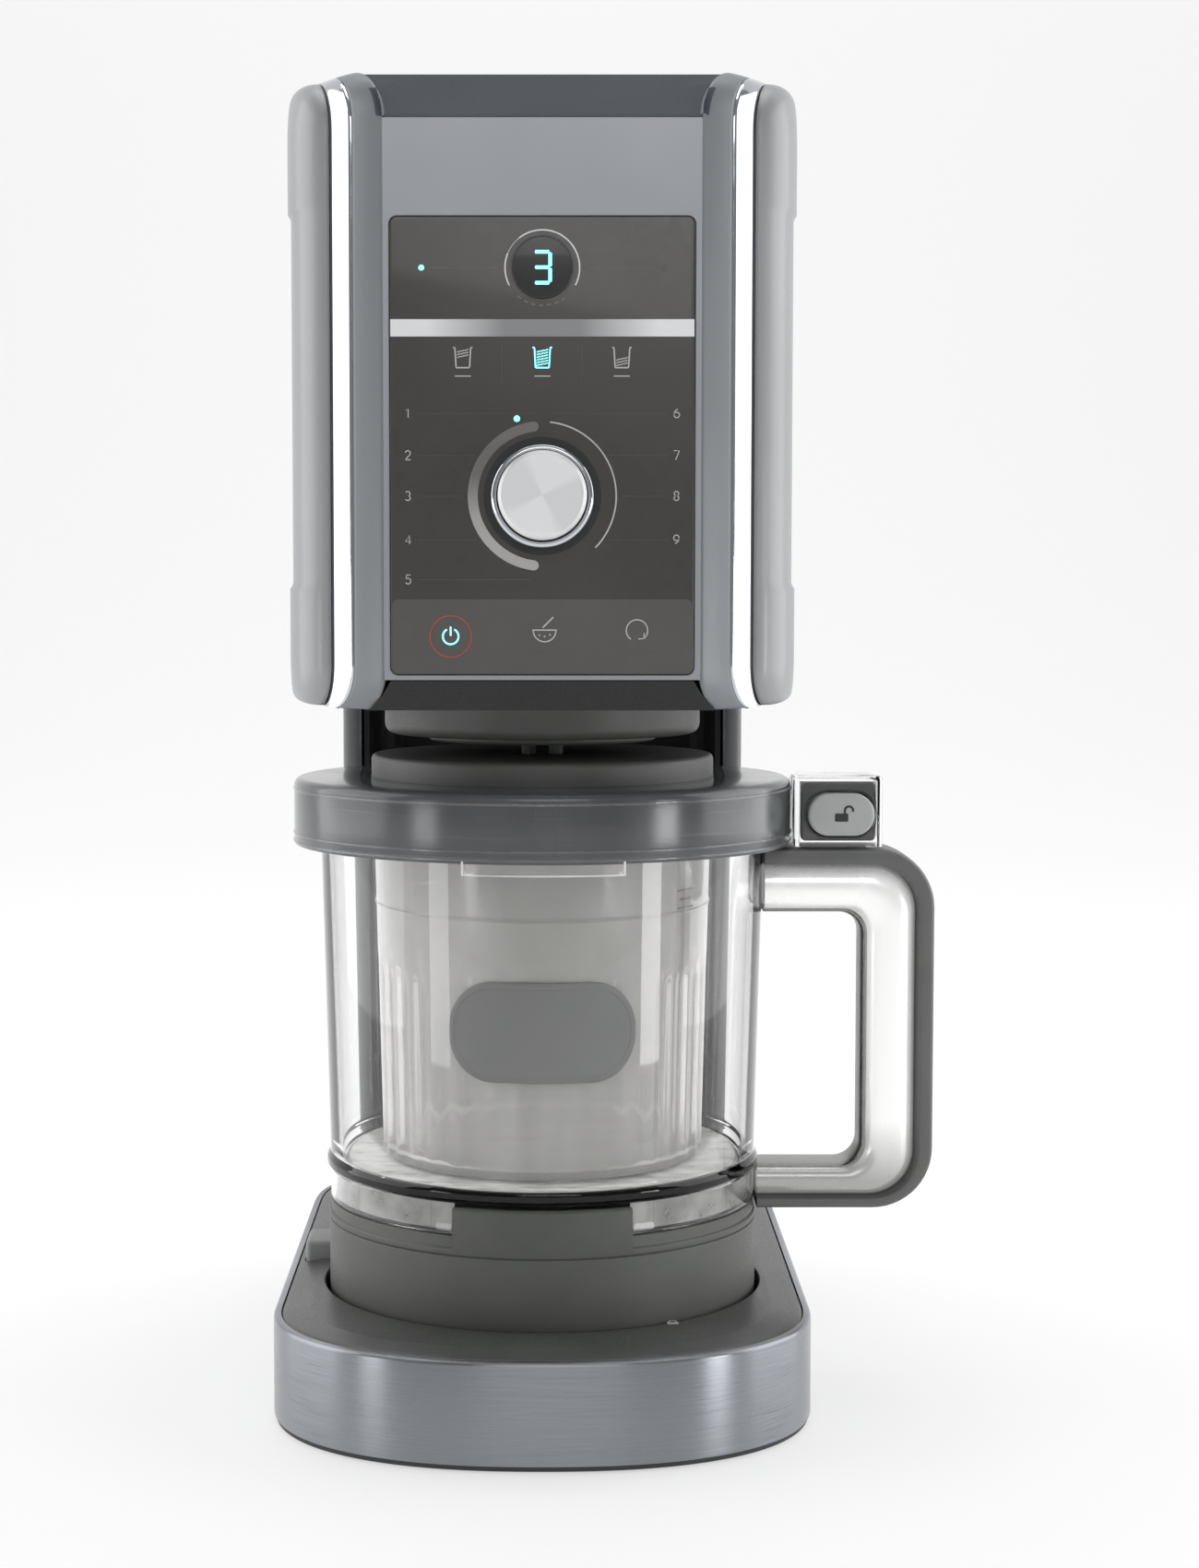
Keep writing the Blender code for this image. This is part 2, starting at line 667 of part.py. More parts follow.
def handle():
    """A grip shaped like a C, with a darker strip round its outside. Both are cut to the bowl's wall."""
    start = BOWL_R - 6
    grip_x = HANDLE_REACH - STRIP_SIDE - GAP
    grip_top = HANDLE_TOP - STRIP_TOP_THICK - GAP
    grip_low = HANDLE_LOW + STRIP_LOW_THICK + GAP

    def bend(x, top, low, radius):
        upper = arc(x - radius, top - radius, radius, 90, 0, 6)
        lower = arc(x - radius, low + radius, radius, 0, -90, 6)
        return [(start, top), *upper, *lower, (start, low)]

    hole_x = grip_x - GRIP_SIDE
    hole = bend(hole_x, grip_top - GRIP_TOP, grip_low + GRIP_LOW, OPENING_ROUND)
    inner_round = HANDLE_ROUND - STRIP_SIDE
    grip = bend(grip_x, grip_top, grip_low, inner_round) + hole[::-1]
    outside = bend(HANDLE_REACH, HANDLE_TOP, HANDLE_LOW, HANDLE_ROUND)
    inside = bend(grip_x + GAP, grip_top + GAP, grip_low - GAP, inner_round + GAP)
    half = HANDLE_DEPTH / 2
    for name, outline, material in (
        ("bowl_handle", grip, "smoke_plastic"),
        ("handle_strip", outside + inside[::-1], "dark_plastic"),
    ):
        low, high = BOWL_R + BEAD + GAP, bowl_radius(HANDLE_TOP) + GAP
        neck = [(0, HANDLE_LOW - 20), (low, HANDLE_LOW - 20), (low, BOWL_FLOOR + 3)]
        neck += [(bowl_radius(BOWL_FLOOR + 3) + GAP, BOWL_FLOOR + 3), (high, HANDLE_TOP)]
        neck += [(high, HANDLE_TOP + 100), (0, HANDLE_TOP + 100)]
        piece(name, prism(outline, -half, half, "Y"), material, cuts=turned(neck))


def pint_radius(z):
    foot = BOWL_FLOOR + 1.4
    return PINT_R + PINT_FLARE * (z - foot) / (PINT_TOP - foot)


def pint():
    foot = BOWL_FLOOR + 1.4
    floor = foot + 2.0
    rim_r = pint_radius(PINT_TOP) + PINT_RIM
    profile = [
        (rim_r, PINT_TOP),
        (rim_r, PINT_TOP - 2),
        (pint_radius(PINT_TOP - 2), PINT_TOP - 2),
        (pint_radius(foot), foot),
        (0, foot),
        (0, floor),
        (pint_radius(floor) - PINT_WALL, floor),
        (pint_radius(PINT_TOP) - PINT_WALL, PINT_TOP),
    ]
    piece("pint", turned(profile), "clear_plastic")


# Lid, latch and paddle


def lid():
    ring_in = LID_R - LID_WALL
    hole_r = HUB_R + GAP
    under = LID_TOP - LID_WALL
    profile = [
        (LID_R, LID_SKIRT_Z),
        (LID_R, LID_TOP - 2),
        (LID_R - 2, LID_TOP),
        (hole_r, LID_TOP),
        (hole_r, under),
        (ring_in, under),
        (ring_in, LID_SKIRT_Z),
    ]
    piece("lid_ring", turned(profile), "smoke_plastic")
    hub_in, ceiling, bore = HUB_R - HUB_WALL, HUB_TOP - HUB_WALL, BUSH_R + RUNNING
    profile = [
        (HUB_R, HUB_LOW),
        (HUB_R, HUB_TOP - 1.5),
        (HUB_R - 1.5, HUB_TOP),
        (bore, HUB_TOP),
        (bore, ceiling),
        (hub_in, ceiling),
        (hub_in, HUB_LOW),
    ]
    piece("lid_hub", turned(profile), "dark_plastic")
    seal_in = bowl_radius(BOWL_TOP) - BOWL_WALL - 1
    seal_out = ring_in - GAP
    top = under - GAP
    low = max(BOWL_TOP + GAP, top - SEAL_THICK)
    piece("lid_seal", turned([(seal_in, low), (seal_out, low), (seal_out, top), (seal_in, top)]), "rubber")
    bush_in = SPINDLE_R + RUNNING
    bush_low = PADDLE_TOP + 0.8
    bush_top = bush_low + BUSH_HEIGHT
    bush = [(bush_in, bush_low), (BUSH_R, bush_low), (BUSH_R, bush_top), (bush_in, bush_top)]
    piece("lid_bush", turned(bush, SMALL), "black_plastic")


def latch():
    low_z, half = LID_SKIRT_Z - 0.8, LATCH_DEPTH / 2
    right = LATCH_X0 + LATCH_WIDTH
    outer = rounded_box((LATCH_X0 + right) / 2, 0, LATCH_WIDTH / 2, half, 2.0)
    cover = prism(outer, low_z, LID_TOP + 0.4)
    inner = [c + s * LATCH_WALL for c, s in ((LATCH_X0, 1), (right, -1), (-half, 1), (half, -1))]
    ceiling = LID_TOP + 0.4 - LATCH_WALL
    hollow = box((inner[0], inner[2], low_z - 5), (inner[1], inner[3], ceiling))
    button_x = (LATCH_X0 + right) / 2 + 0.7
    button_z = (low_z + ceiling) / 2
    half_w, half_h = LID_BUTTON_WIDTH / 2, LID_BUTTON_HEIGHT / 2
    window = rounded_box(button_x, button_z, half_w + RUNNING, half_h + RUNNING, half_h)
    made = piece("latch_box", cover, "clear_plastic", cuts=hollow)
    combine(made, "window", prism(window, -half - 5, inner[2] + 2, "Y"))
    front, back = -half - 1.5, -half + 5
    outline = rounded_box(button_x, button_z, half_w, half_h, half_h - 0.3)
    pivot = (button_x, front, button_z)
    piece("lid_button", prism(outline, front, back, "Y"), "grey_plastic", pivot)
    housing_low = (inner[0] + GAP, back + LID_BUTTON_TRAVEL + GAP, low_z + 1.5)
    housing_high = (inner[1] - GAP, inner[3] - GAP, ceiling - GAP)
    piece("latch_housing", box(housing_low, housing_high), "black_plastic")


def paddle():
    """A hub with a socket for the spindle, and tilted blades that end in upright scrapers."""
    low = PADDLE_TOP - PADDLE_HEIGHT
    socket_r = SPINDLE_TIP_R + 0.7
    hub = [(0, low + 2), (PADDLE_HUB_R - 3, low + 2), (PADDLE_HUB_R, low + 5), (PADDLE_HUB_R, PADDLE_TOP)]
    hub += [(socket_r, PADDLE_TOP), (socket_r, PADDLE_TOP - 8), (0, PADDLE_TOP - 8)]
    made = piece("paddle", turned(hub, SMALL), "grey_plastic")
    height = PADDLE_HEIGHT - 6
    for i in range(BLADE_COUNT):
        blade_low = (socket_r + 1.5, -BLADE_THICK / 2, -height / 2)
        blade = box(blade_low, (PADDLE_R - 1.2, BLADE_THICK / 2, height / 2))
        tilt = Matrix.Rotation(radians(BLADE_TILT), 4, "X")
        bmesh.ops.transform(blade, matrix=tilt, verts=blade.verts)
        scraper = box((PADDLE_R - 3.5, -2.0, -height / 2 - 1), (PADDLE_R - 0.4, 2.0, height / 2 + 2))
        place = Matrix.Rotation(2 * pi * i / BLADE_COUNT, 4, "Z")
        place = place @ Matrix.Translation((0, 0, low + 1.5 + height / 2))
        for label, shape in (("blade", blade), ("scraper", scraper)):
            bmesh.ops.transform(shape, matrix=place, verts=shape.verts)
            combine(made, f"{label}_{i}", shape, "UNION")


# Column and head


def column():
    low, high = PLATE_TOP + GAP, CHIN_Z - GAP
    back = BASE_BACK - COLUMN_BACK_INSET
    length = back - REAR_Y

    def half_u(half, reach):
        return [(half, COLUMN_FRONT), *rear_quarter(half, reach, REAR_Y)]

    outer = half_u(COLUMN_HALF, length)
    inner = half_u(COLUMN_HALF - COLUMN_WALL, length - COLUMN_WALL)
    left = [(-x, y) for x, y in outer[-2::-1]]
    inner_left = [(-x, y) for x, y in inner[:-1]]
    piece("column_shell", prism(outer + left + inner_left + inner[::-1], low, high), "side_paint")
    half = COLUMN_HALF - COLUMN_WALL - GAP
    front = COLUMN_FRONT + 2
    rear = REAR_Y + LINER_REACH
    round_out = 12.0
    side = [(half, front), *arc(half - round_out, rear - round_out, round_out, 0, 90, 5)]
    outline = side + mirrored(side)[::-1]
    hollow_side = [
        (half - LINER_WALL, front),
        *arc(half - round_out, rear - round_out, round_out - LINER_WALL, 0, 90, 5),
    ]
    outline += hollow_side_mirror(hollow_side)
    piece("column_liner", prism(outline, low, high), "black_plastic")


def hollow_side_mirror(side):
    """The inner path of a U, from its left end to its right end."""
    return mirrored(side) + side[::-1]


def front_curve(face_y, face_half, cheek_half, cheek_y):
    """The head's front from the middle of its face to the back of its cheek, in plan."""
    width, back = cheek_half - face_half, cheek_y - face_y
    cheek = [
        (face_half + width * sin(radians(a)), face_y + back * (1 - cos(radians(a))))
        for a in (0, 30, 60, 90)
    ]
    return [(0, face_y), *cheek]


def head_front_shell():
    """A facing with rounded cheeks. It leans back at the top, and holds the panel and the chin."""
    levels = (
        (WALL_LOW, FACE_Y, FACE_HALF, CHEEK_HALF, CHEEK_Y),
        (FACE_HIGH, FACE_Y, FACE_HALF, CHEEK_HALF, CHEEK_Y),
        (HEAD_TOP, FACE_Y + BEVEL_BACK, BEVEL_HALF, BEVEL_HALF + BEVEL_CHEEK, FACE_Y + BEVEL_BACK + 2),
    )
    rings = []
    for z, *sizes in levels:
        right = front_curve(*sizes)
        curve = mirrored(right)[:0:-1] + right
        rings.append(at_height(strip(curve, SHELL_WALL), z))
    made = piece("head_front_shell", loft(rings), "silver_paint")
    panel_gap = GAP / 2
    opening_half = PANEL_HALF + panel_gap
    opening = box(
        (-opening_half, FACE_Y - 5, PANEL_LOW - panel_gap), (opening_half, FACE_Y + 9, PANEL_HIGH + panel_gap)
    )
    low_half, top_half = CHIN_LOW_HALF + GAP, CHIN_TOP_HALF + GAP
    notch = [
        (-low_half, CHIN_Z - 1),
        (low_half, CHIN_Z - 1),
        (low_half, CHIN_Z),
        (top_half, FACE_LOW),
        (-top_half, FACE_LOW),
        (-low_half, CHIN_Z),
    ]
    combine(made, "openings", joined(opening, prism(notch, FACE_Y - 5, FACE_Y + 9, "Y")))
    chin = [
        (-CHIN_LOW_HALF, CHIN_Z),
        (CHIN_LOW_HALF, CHIN_Z),
        (CHIN_TOP_HALF, FACE_LOW - GAP),
        (-CHIN_TOP_HALF, FACE_LOW - GAP),
    ]
    piece("chin_panel", prism(chin, FACE_Y + 1.0, FACE_Y + 3.4, "Y"), "black_plastic")


def side_curve():
    """The right side in plan: a quarter ellipse from the trim, then straight to the rear cover."""
    width = HEAD_HALF - TRIM_HALF - GAP
    start_x = TRIM_HALF + GAP
    bulge = []
    for i in range(7):
        angle = pi / 2 * i / 6
        bulge.append((start_x + width * sin(angle), SIDE_Y - SIDE_BACK * cos(angle)))
    return [*bulge, (HEAD_HALF, REAR_Y - GAP)]


def head_sides():
    trim = [
        (CHEEK_HALF + GAP, CHEEK_Y),
        ((CHEEK_HALF + TRIM_HALF) / 2, (CHEEK_Y + TRIM_Y) / 2 - 0.5),
        (TRIM_HALF, TRIM_Y - GAP),
    ]
    for name, flip in (("right", list), ("left", mirrored)):
        side = flip(strip(side_curve(), SHELL_WALL))
        piece(f"side_panel_{name}", prism(side, WALL_LOW, WALL_HIGH), "side_paint")
        piece(f"trim_strip_{name}", prism(flip(strip(trim, 1.6)), WALL_LOW, FACE_HIGH), "chrome")


def head_covers():
    quarter = rear_quarter(HEAD_HALF, BASE_BACK - 3 - REAR_Y, REAR_Y)
    curve = quarter + mirrored(quarter)[-2::-1]
    vents = []
    for i in range(VENT_COUNT):
        z = FACE_HIGH - 20 - 9 * i
        vents.append(box((-25, BASE_BACK - 10, z), (25, BASE_BACK, z + 3)))
    rear = prism(strip(curve, SHELL_WALL), WALL_LOW, WALL_HIGH)
    piece("rear_cover", rear, "side_paint", cuts=joined(*vents))
    inset = SHELL_WALL + GAP
    half = HEAD_HALF - inset
    rear_points = rear_quarter(half, BASE_BACK - 3 - REAR_Y - inset, REAR_Y)
    front_y = FACE_Y + BEVEL_BACK + SHELL_WALL + 3
    top = whole([(0, front_y), (CHEEK_HALF, front_y), (half, SIDE_Y + 4), *rear_points])
    piece("top_cover", prism(top, HEAD_TOP - COVER_THICK, HEAD_TOP), "silver_paint")
    under = [(0, CHEEK_Y + 1.5), (FACE_HALF, CHEEK_Y + 1.5), (TRIM_HALF - 2, TRIM_Y + 3)]
    under += [(half, SIDE_Y), *rear_points]
    hole_r = HOUSING_R + GAP
    hole = turned([(0, CHIN_Z - 5), (hole_r, CHIN_Z - 5), (hole_r, CHIN_Z + 9), (0, CHIN_Z + 9)])
    bottom = prism(whole(under), CHIN_Z, CHIN_Z + COVER_THICK)
    piece("head_bottom_cover", bottom, "dark_plastic", cuts=hole)


def controls():
    """The panel, its display and the dial, whose shaft goes through the panel into an encoder."""
    front = FACE_Y - 0.3
    middle = (PANEL_LOW + PANEL_HIGH) / 2
    outline = rounded_box(0, middle, PANEL_HALF, (PANEL_HIGH - PANEL_LOW) / 2, PANEL_ROUND)
    bore = SHAFT_R + RUNNING
    hole = turned([(0, -9), (bore, -9), (bore, 9), (0, 9)], SMALL)
    panel = prism(outline, front, front + PANEL_THICK, "Y")
    piece("control_panel", panel, "panel_black", cuts=lay_forward(hole, 0, front, DIAL_Z))
    lens = [(0, GAP), (DISPLAY_R, GAP), (DISPLAY_R, GAP + 0.8), (0, GAP + 0.8)]
    piece("display_lens", lay_forward(turned(lens, LARGE), 0, front, DISPLAY_Z), "panel_black")
    bezel_in = DIAL_R + RUNNING
    bezel = [(bezel_in, GAP), (BEZEL_R, GAP), (BEZEL_R, 1.6), (BEZEL_R - 0.6, 2.2), (bezel_in, 2.2)]
    piece("knob_bezel", lay_forward(turned(bezel), 0, front, DIAL_Z), "chrome")
    stand, tip = DIAL_STAND, DIAL_STAND + DIAL_LENGTH
    cap = [
        (bore, stand),
        (DIAL_R, stand),
        (DIAL_R, tip - 0.8),
        (DIAL_R - 0.8, tip),
        (0, tip),
        (0, tip - 2.5),
        (bore, tip - 2.5),
    ]
    pivot = (0, front, DIAL_Z)
    piece("knob_cap", lay_forward(turned(cap), *pivot), "brushed_aluminium", pivot)
    shaft_back = -(PANEL_THICK + 2 + ENCODER_DEPTH / 2)
    shaft = [(0, shaft_back), (SHAFT_R, shaft_back), (SHAFT_R, tip - 3.0), (0, tip - 3.0)]
    piece("encoder_shaft", lay_forward(turned(shaft, SMALL), *pivot), "steel", pivot)
    encoder_y = front + PANEL_THICK + 2
    half = ENCODER_SIDE / 2
    body = box((-half, encoder_y, DIAL_Z - half), (half, encoder_y + ENCODER_DEPTH, DIAL_Z + half))
    depth = ENCODER_DEPTH / 2 + DIAL_TRAVEL + GAP
    hole = turned([(0, -depth), (bore, -depth), (bore, 5), (0, 5)], SMALL)
    piece("dial_encoder", body, "black_plastic", cuts=lay_forward(hole, 0, encoder_y, DIAL_Z))
    board_y = encoder_y + ENCODER_DEPTH + GAP
    board_half = PANEL_HALF - 4
    board = box((-board_half, board_y, PANEL_LOW + 6), (board_half, board_y + BOARD_THICK, PANEL_HIGH - 4))
    piece("control_board", board, "circuit_board")


# Drive


def coupling():
    low, top = HOUSING_Z, CHASSIS_Z - 1.5
    wall = 2.5
    inner = COLLAR_R + 3.3
    profile = [(HOUSING_R, top), (HOUSING_R, low + 3)]
    profile += [(HOUSING_R - 3 + 3 * cos(a), low + 3 - 3 * sin(a)) for a in (pi / 6, pi / 3, pi / 2)]
    profile += [(inner, low), (inner, low + wall), (HOUSING_R - wall, low + wall + 2), (HOUSING_R - wall, top)]
    piece("coupling_housing", turned(profile), "dark_plastic")
    bearing_out = SPINDLE_R + RUNNING + BEARING_WALL
    bore = bearing_out + GAP
    collar_top = CHASSIS_Z - GAP
    profile = [(COLLAR_R, collar_top), (COLLAR_R, COLLAR_Z + 1), (COLLAR_R - 1, COLLAR_Z)]
    profile += [(bore, COLLAR_Z), (bore, collar_top)]
    piece("coupling_collar", turned(profile), "dark_plastic")
    low = COLLAR_Z + 3
    bearing_in = SPINDLE_R + RUNNING
    ring = [(bearing_in, low), (bearing_out, low), (bearing_out, low + 8), (bearing_in, low + 8)]
    piece("spindle_bearing", turned(ring, SMALL), "steel")


def chassis():
    """Two plates hold the guide rods and the lead screw."""
    half = HEAD_HALF - 19
    low_outline = rounded_box(0, 25, half, 85, 8)
    centre_r = SPINDLE_R + RUNNING + BEARING_WALL + GAP
    journal_hole = JOURNAL_R + RUNNING
    span = (CHASSIS_Z - 5, CHASSIS_Z + CHASSIS_THICK + 5)
    holes = joined(
        turned([(0, span[0]), (centre_r, span[0]), (centre_r, span[1]), (0, span[1])], SMALL),
        turned(
            [(0, span[0]), (journal_hole, span[0]), (journal_hole, span[1]), (0, span[1])],
            12,
            (0, SCREW_Y),
        ),
    )
    lower = prism(low_outline, CHASSIS_Z, CHASSIS_Z + CHASSIS_THICK)
    piece("chassis_lower", lower, "steel", cuts=holes)
    upper = rounded_box(0, 35, half, 75, 8)
    piece("chassis_upper", prism(upper, UPPER_Z, UPPER_Z + CHASSIS_THICK), "steel")
    rod_low, rod_top = CHASSIS_Z + CHASSIS_THICK + GAP, UPPER_Z - GAP
    for name, x in (("left", -ROD_X), ("right", ROD_X)):
        rod = turned([(0, rod_low), (ROD_R, rod_low), (ROD_R, rod_top), (0, rod_top)], 14, (x, ROD_Y))
        piece(f"guide_rod_{name}", rod, "steel")
    motor_low, motor_top = UPPER_Z - GAP - LIFT_MOTOR_HEIGHT, UPPER_Z - GAP
    bore = JOURNAL_R + RUNNING
    motor = [(bore, motor_low), (LIFT_MOTOR_R, motor_low), (LIFT_MOTOR_R, motor_top), (0, motor_top)]
    motor += [(0, motor_low + 8), (bore, motor_low + 8)]
    piece("position_motor", turned(motor, SMALL, (0, SCREW_Y)), "motor_case")
    screw_low, screw_top = rod_low + 2, motor_low - 2
    screw = [(0, CHASSIS_Z), (JOURNAL_R, CHASSIS_Z), (JOURNAL_R, screw_low), (SCREW_R, screw_low)]
    screw += [(SCREW_R, screw_top), (JOURNAL_R, screw_top), (JOURNAL_R, motor_low + 6), (0, motor_low + 6)]
    pivot = (0, SCREW_Y, CHASSIS_Z)
    piece("lead_screw", turned(screw, 16, (0, SCREW_Y)), "steel", pivot)


def gear_outline(teeth, centre, phase):
    """A spur gear in plan, with straight-sided teeth a little thinner than half the pitch."""
    pitch_r = GEAR_MODULE * teeth / 2
    tip, root = pitch_r + 0.75 * GEAR_MODULE, pitch_r - 1.1 * GEAR_MODULE
    pitch = 2 * pi / teeth
    outline = []
    for i in range(teeth):
        middle = phase + i * pitch
        for radius, share in ((root, -0.27), (tip, -0.11), (tip, 0.11), (root, 0.27)):
            angle = middle + share * pitch
            outline.append((centre[0] + radius * cos(angle), centre[1] + radius * sin(angle)))
    return outline


def hull_of_two(radius_a, radius_b, y_b, count=18):
    """The outline round a circle at the axis and a smaller one at y_b behind it."""
    lean = degrees((radius_a - radius_b) / y_b)
    lower = arc(0, 0, radius_a, 180 - lean, 360 + lean, count)
    upper = arc(0, y_b, radius_b, lean, 180 - lean, count // 2)
    return lower + upper


def drive():
    """What rides on the carriage: the gearbox with its gear pair, the motor and the lead nut."""
    gear_low = TRAY_Z + TRAY_WALL + 1.5
    wall_a, wall_b = GEAR_R + GEAR_MODULE + 1, PINION_R + GEAR_MODULE + 1
    outline = hull_of_two(wall_a + TRAY_WALL, wall_b + TRAY_WALL, MOTOR_Y)
    inner = hull_of_two(wall_a, wall_b, MOTOR_Y)
    rings = [
        at_height(outline, TRAY_Z),
        at_height(outline, TRAY_Z + TRAY_HEIGHT),
        at_height(inner, TRAY_Z + TRAY_HEIGHT),
        at_height(inner, TRAY_Z + TRAY_WALL),
    ]
    hole_r = SPINDLE_R + RUNNING
    hole = turned([(0, TRAY_Z - 5), (hole_r, TRAY_Z - 5), (hole_r, gear_low), (0, gear_low)], SMALL)
    piece("gearbox_tray", loft(rings), "grey_plastic", cuts=hole)
    neck_low = gear_low - 1
    gear = gear_outline(GEAR_TEETH, (0, 0), pi / 2)
    neck_hole_r = SPINDLE_NECK_R + GAP
    bore = turned([(0, gear_low - 5), (neck_hole_r, gear_low - 5), (neck_hole_r, 500), (0, 500)], SMALL)
    piece("drive_gear", prism(gear, gear_low, gear_low + GEAR_WIDTH), "steel", cuts=bore)
    neck_top = gear_low + GEAR_WIDTH + 1
    tip_low = PADDLE_TOP - 6
    shaft = [(0, tip_low), (SPINDLE_TIP_R, tip_low), (SPINDLE_TIP_R, PADDLE_TOP + 0.6)]
    shaft += [(SPINDLE_R, PADDLE_TOP + 0.6), (SPINDLE_R, neck_low), (SPINDLE_NECK_R, neck_low)]
    shaft += [(SPINDLE_NECK_R, neck_top), (0, neck_top)]
    piece("spindle_shaft", turned(shaft, SMALL), "steel")
    pinion = gear_outline(PINION_TEETH, (0, MOTOR_Y), -pi / 2 + pi / PINION_TEETH)
    pin_top = MOTOR_Z + 8
    stub = [(0, gear_low + 2), (SHAFT_R, gear_low + 2), (SHAFT_R, pin_top), (0, pin_top)]
    piece(
        "motor_pinion",
        prism(pinion, gear_low, gear_low + GEAR_WIDTH),
        "steel",
        (0, MOTOR_Y, gear_low),
        adds=turned(stub, 12, (0, MOTOR_Y)),
    )
    motor_top = UPPER_Z - 2
    bore = SHAFT_R + RUNNING
    motor = [(bore, MOTOR_Z), (MOTOR_R, MOTOR_Z), (MOTOR_R, motor_top - 3), (MOTOR_R - 3, motor_top)]
    motor += [(0, motor_top), (0, pin_top + 1), (bore, pin_top + 1)]
    piece("drive_motor", turned(motor, 28, (0, MOTOR_Y)), "motor_case")
    plate_holes = [(x, ROD_Y, ROD_R + RUNNING) for x in (-ROD_X, ROD_X)]
    plate_holes += [(0, MOTOR_Y, SHAFT_R + RUNNING), (0, SCREW_Y, SCREW_R + RUNNING)]
    tools = []
    for x, y, radius in plate_holes:
        span = (CARRIAGE_Z - 5, CARRIAGE_Z + 9)
        tools.append(turned([(0, span[0]), (radius, span[0]), (radius, span[1]), (0, span[1])], 14, (x, y)))
    plate_half = ROD_X + ROD_R + 4
    plate = rounded_box(0, (SCREW_Y - 22) / 2, plate_half, (SCREW_Y + 40) / 2, 14)
    carriage = prism(plate, CARRIAGE_Z, CARRIAGE_Z + CARRIAGE_THICK)
    piece("carriage_plate", carriage, "steel", cuts=joined(*tools))
    nut_top = CARRIAGE_Z - GAP
    nut_in = SCREW_R + RUNNING
    nut_low = nut_top - NUT_HEIGHT
    nut = [(nut_in, nut_low), (NUT_R, nut_low), (NUT_R, nut_top), (nut_in, nut_top)]
    piece("lead_nut", turned(nut, 16, (0, SCREW_Y)), "grey_plastic")


def main():
    for old in list(bpy.data.objects):
        bpy.data.objects.remove(old, do_unlink=True)
    axis = bpy.data.objects.new("spindle_axis", None)
    axis.location = (AXIS_X * 0.001, AXIS_Y * 0.001, 0)
    bpy.context.scene.collection.objects.link(axis)
    base()
    base_plate()
    cam_ring()
    release_button()
    platform()
    outer_bowl()
    handle()
    pint()
    lid()
    latch()
    paddle()
    column()
    head_front_shell()
    head_sides()
    head_covers()
    controls()
    coupling()
    chassis()
    drive()


main()
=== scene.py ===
"""The looks of a countertop ice cream maker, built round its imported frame.

Pieces are worked out in millimetres about the spindle's axis: X right, Y back, Z up. Their sizes
come from the frame's nodes. to_world() turns them into the frame's metres.
"""

import bmesh
import bpy
import numpy as np
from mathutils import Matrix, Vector


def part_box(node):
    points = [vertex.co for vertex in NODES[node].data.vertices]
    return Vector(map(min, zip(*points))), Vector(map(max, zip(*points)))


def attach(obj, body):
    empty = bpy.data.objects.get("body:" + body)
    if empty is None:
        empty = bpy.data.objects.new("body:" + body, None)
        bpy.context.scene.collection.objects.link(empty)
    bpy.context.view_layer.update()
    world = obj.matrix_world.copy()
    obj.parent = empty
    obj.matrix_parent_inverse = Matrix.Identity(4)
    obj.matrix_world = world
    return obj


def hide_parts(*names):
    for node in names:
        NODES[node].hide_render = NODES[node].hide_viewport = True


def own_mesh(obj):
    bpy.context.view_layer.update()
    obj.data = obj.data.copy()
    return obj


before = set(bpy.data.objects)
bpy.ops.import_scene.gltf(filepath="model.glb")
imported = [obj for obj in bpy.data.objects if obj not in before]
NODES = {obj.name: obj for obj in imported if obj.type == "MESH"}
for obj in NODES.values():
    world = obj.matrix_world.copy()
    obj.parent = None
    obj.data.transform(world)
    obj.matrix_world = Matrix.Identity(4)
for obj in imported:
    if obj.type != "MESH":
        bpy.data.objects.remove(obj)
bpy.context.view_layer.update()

MM = 0.001
PI = np.pi
SHARP = 38.0  # edges that turn by more than this many degrees are drawn sharp
AXIS = (np.array(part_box("pint")[0]) + np.array(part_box("pint")[1])) / 2 * (1, 1, 0)


def node_box(name):
    """The lowest and highest corners of a CAD node, in millimetres about the spindle's axis."""
    low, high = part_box(name)
    return (np.array(low) - AXIS) / MM, (np.array(high) - AXIS) / MM


def to_world(points):
    """Points in millimetres about the spindle's axis, in the frame's metres."""
    return np.asarray(points, float) * MM + AXIS


# ---------------------------------------------------------------- materials


def linear(hex_colour):
    """An sRGB hex colour as linear RGBA."""
    channel = np.array([int(hex_colour[i : i + 2], 16) for i in (0, 2, 4)]) / 255
    value = np.where(channel <= 0.04045, channel / 12.92, ((channel + 0.055) / 1.055) ** 2.4)
    return (*(float(v) for v in value), 1.0)


def add(tree, kind, links=None, **settings):
    """A node of this kind. A link's value is an output to join, or a constant for that input."""
    made = tree.nodes.new(kind)
    for key, value in settings.items():
        setattr(made, key, value)
    for key, value in (links or {}).items():
        if isinstance(value, bpy.types.NodeSocket):
            tree.links.new(value, made.inputs[key])
        else:
            made.inputs[key].default_value = value
    return made


def material(name, colour, **sockets):
    """A Principled material. Constants sit on the shader's own sockets."""
    made = bpy.data.materials.new(name)
    made.use_nodes = True
    tree = made.node_tree
    shader = tree.nodes["Principled BSDF"]
    shader.inputs["Base Color"].default_value = linear(colour)
    for key, value in sockets.items():
        shader.inputs[key.replace("_", " ")].default_value = value
    place = add(tree, "ShaderNodeTexCoord").outputs["Object"]
    return made, tree, shader, place


def grain(tree, place, size_mm, stretch=(1, 1, 1), detail=3.0):
    """Noise with features of this size, drawn out along the axes whose stretch is above 1."""
    scale = tuple(1 / s for s in stretch)
    moved = add(tree, "ShaderNodeMapping", {"Vector": place, "Scale": scale}).outputs["Vector"]
    links = {"Vector": moved, "Scale": 1 / (size_mm * MM), "Detail": detail}
    return add(tree, "ShaderNodeTexNoise", links).outputs["Fac"]


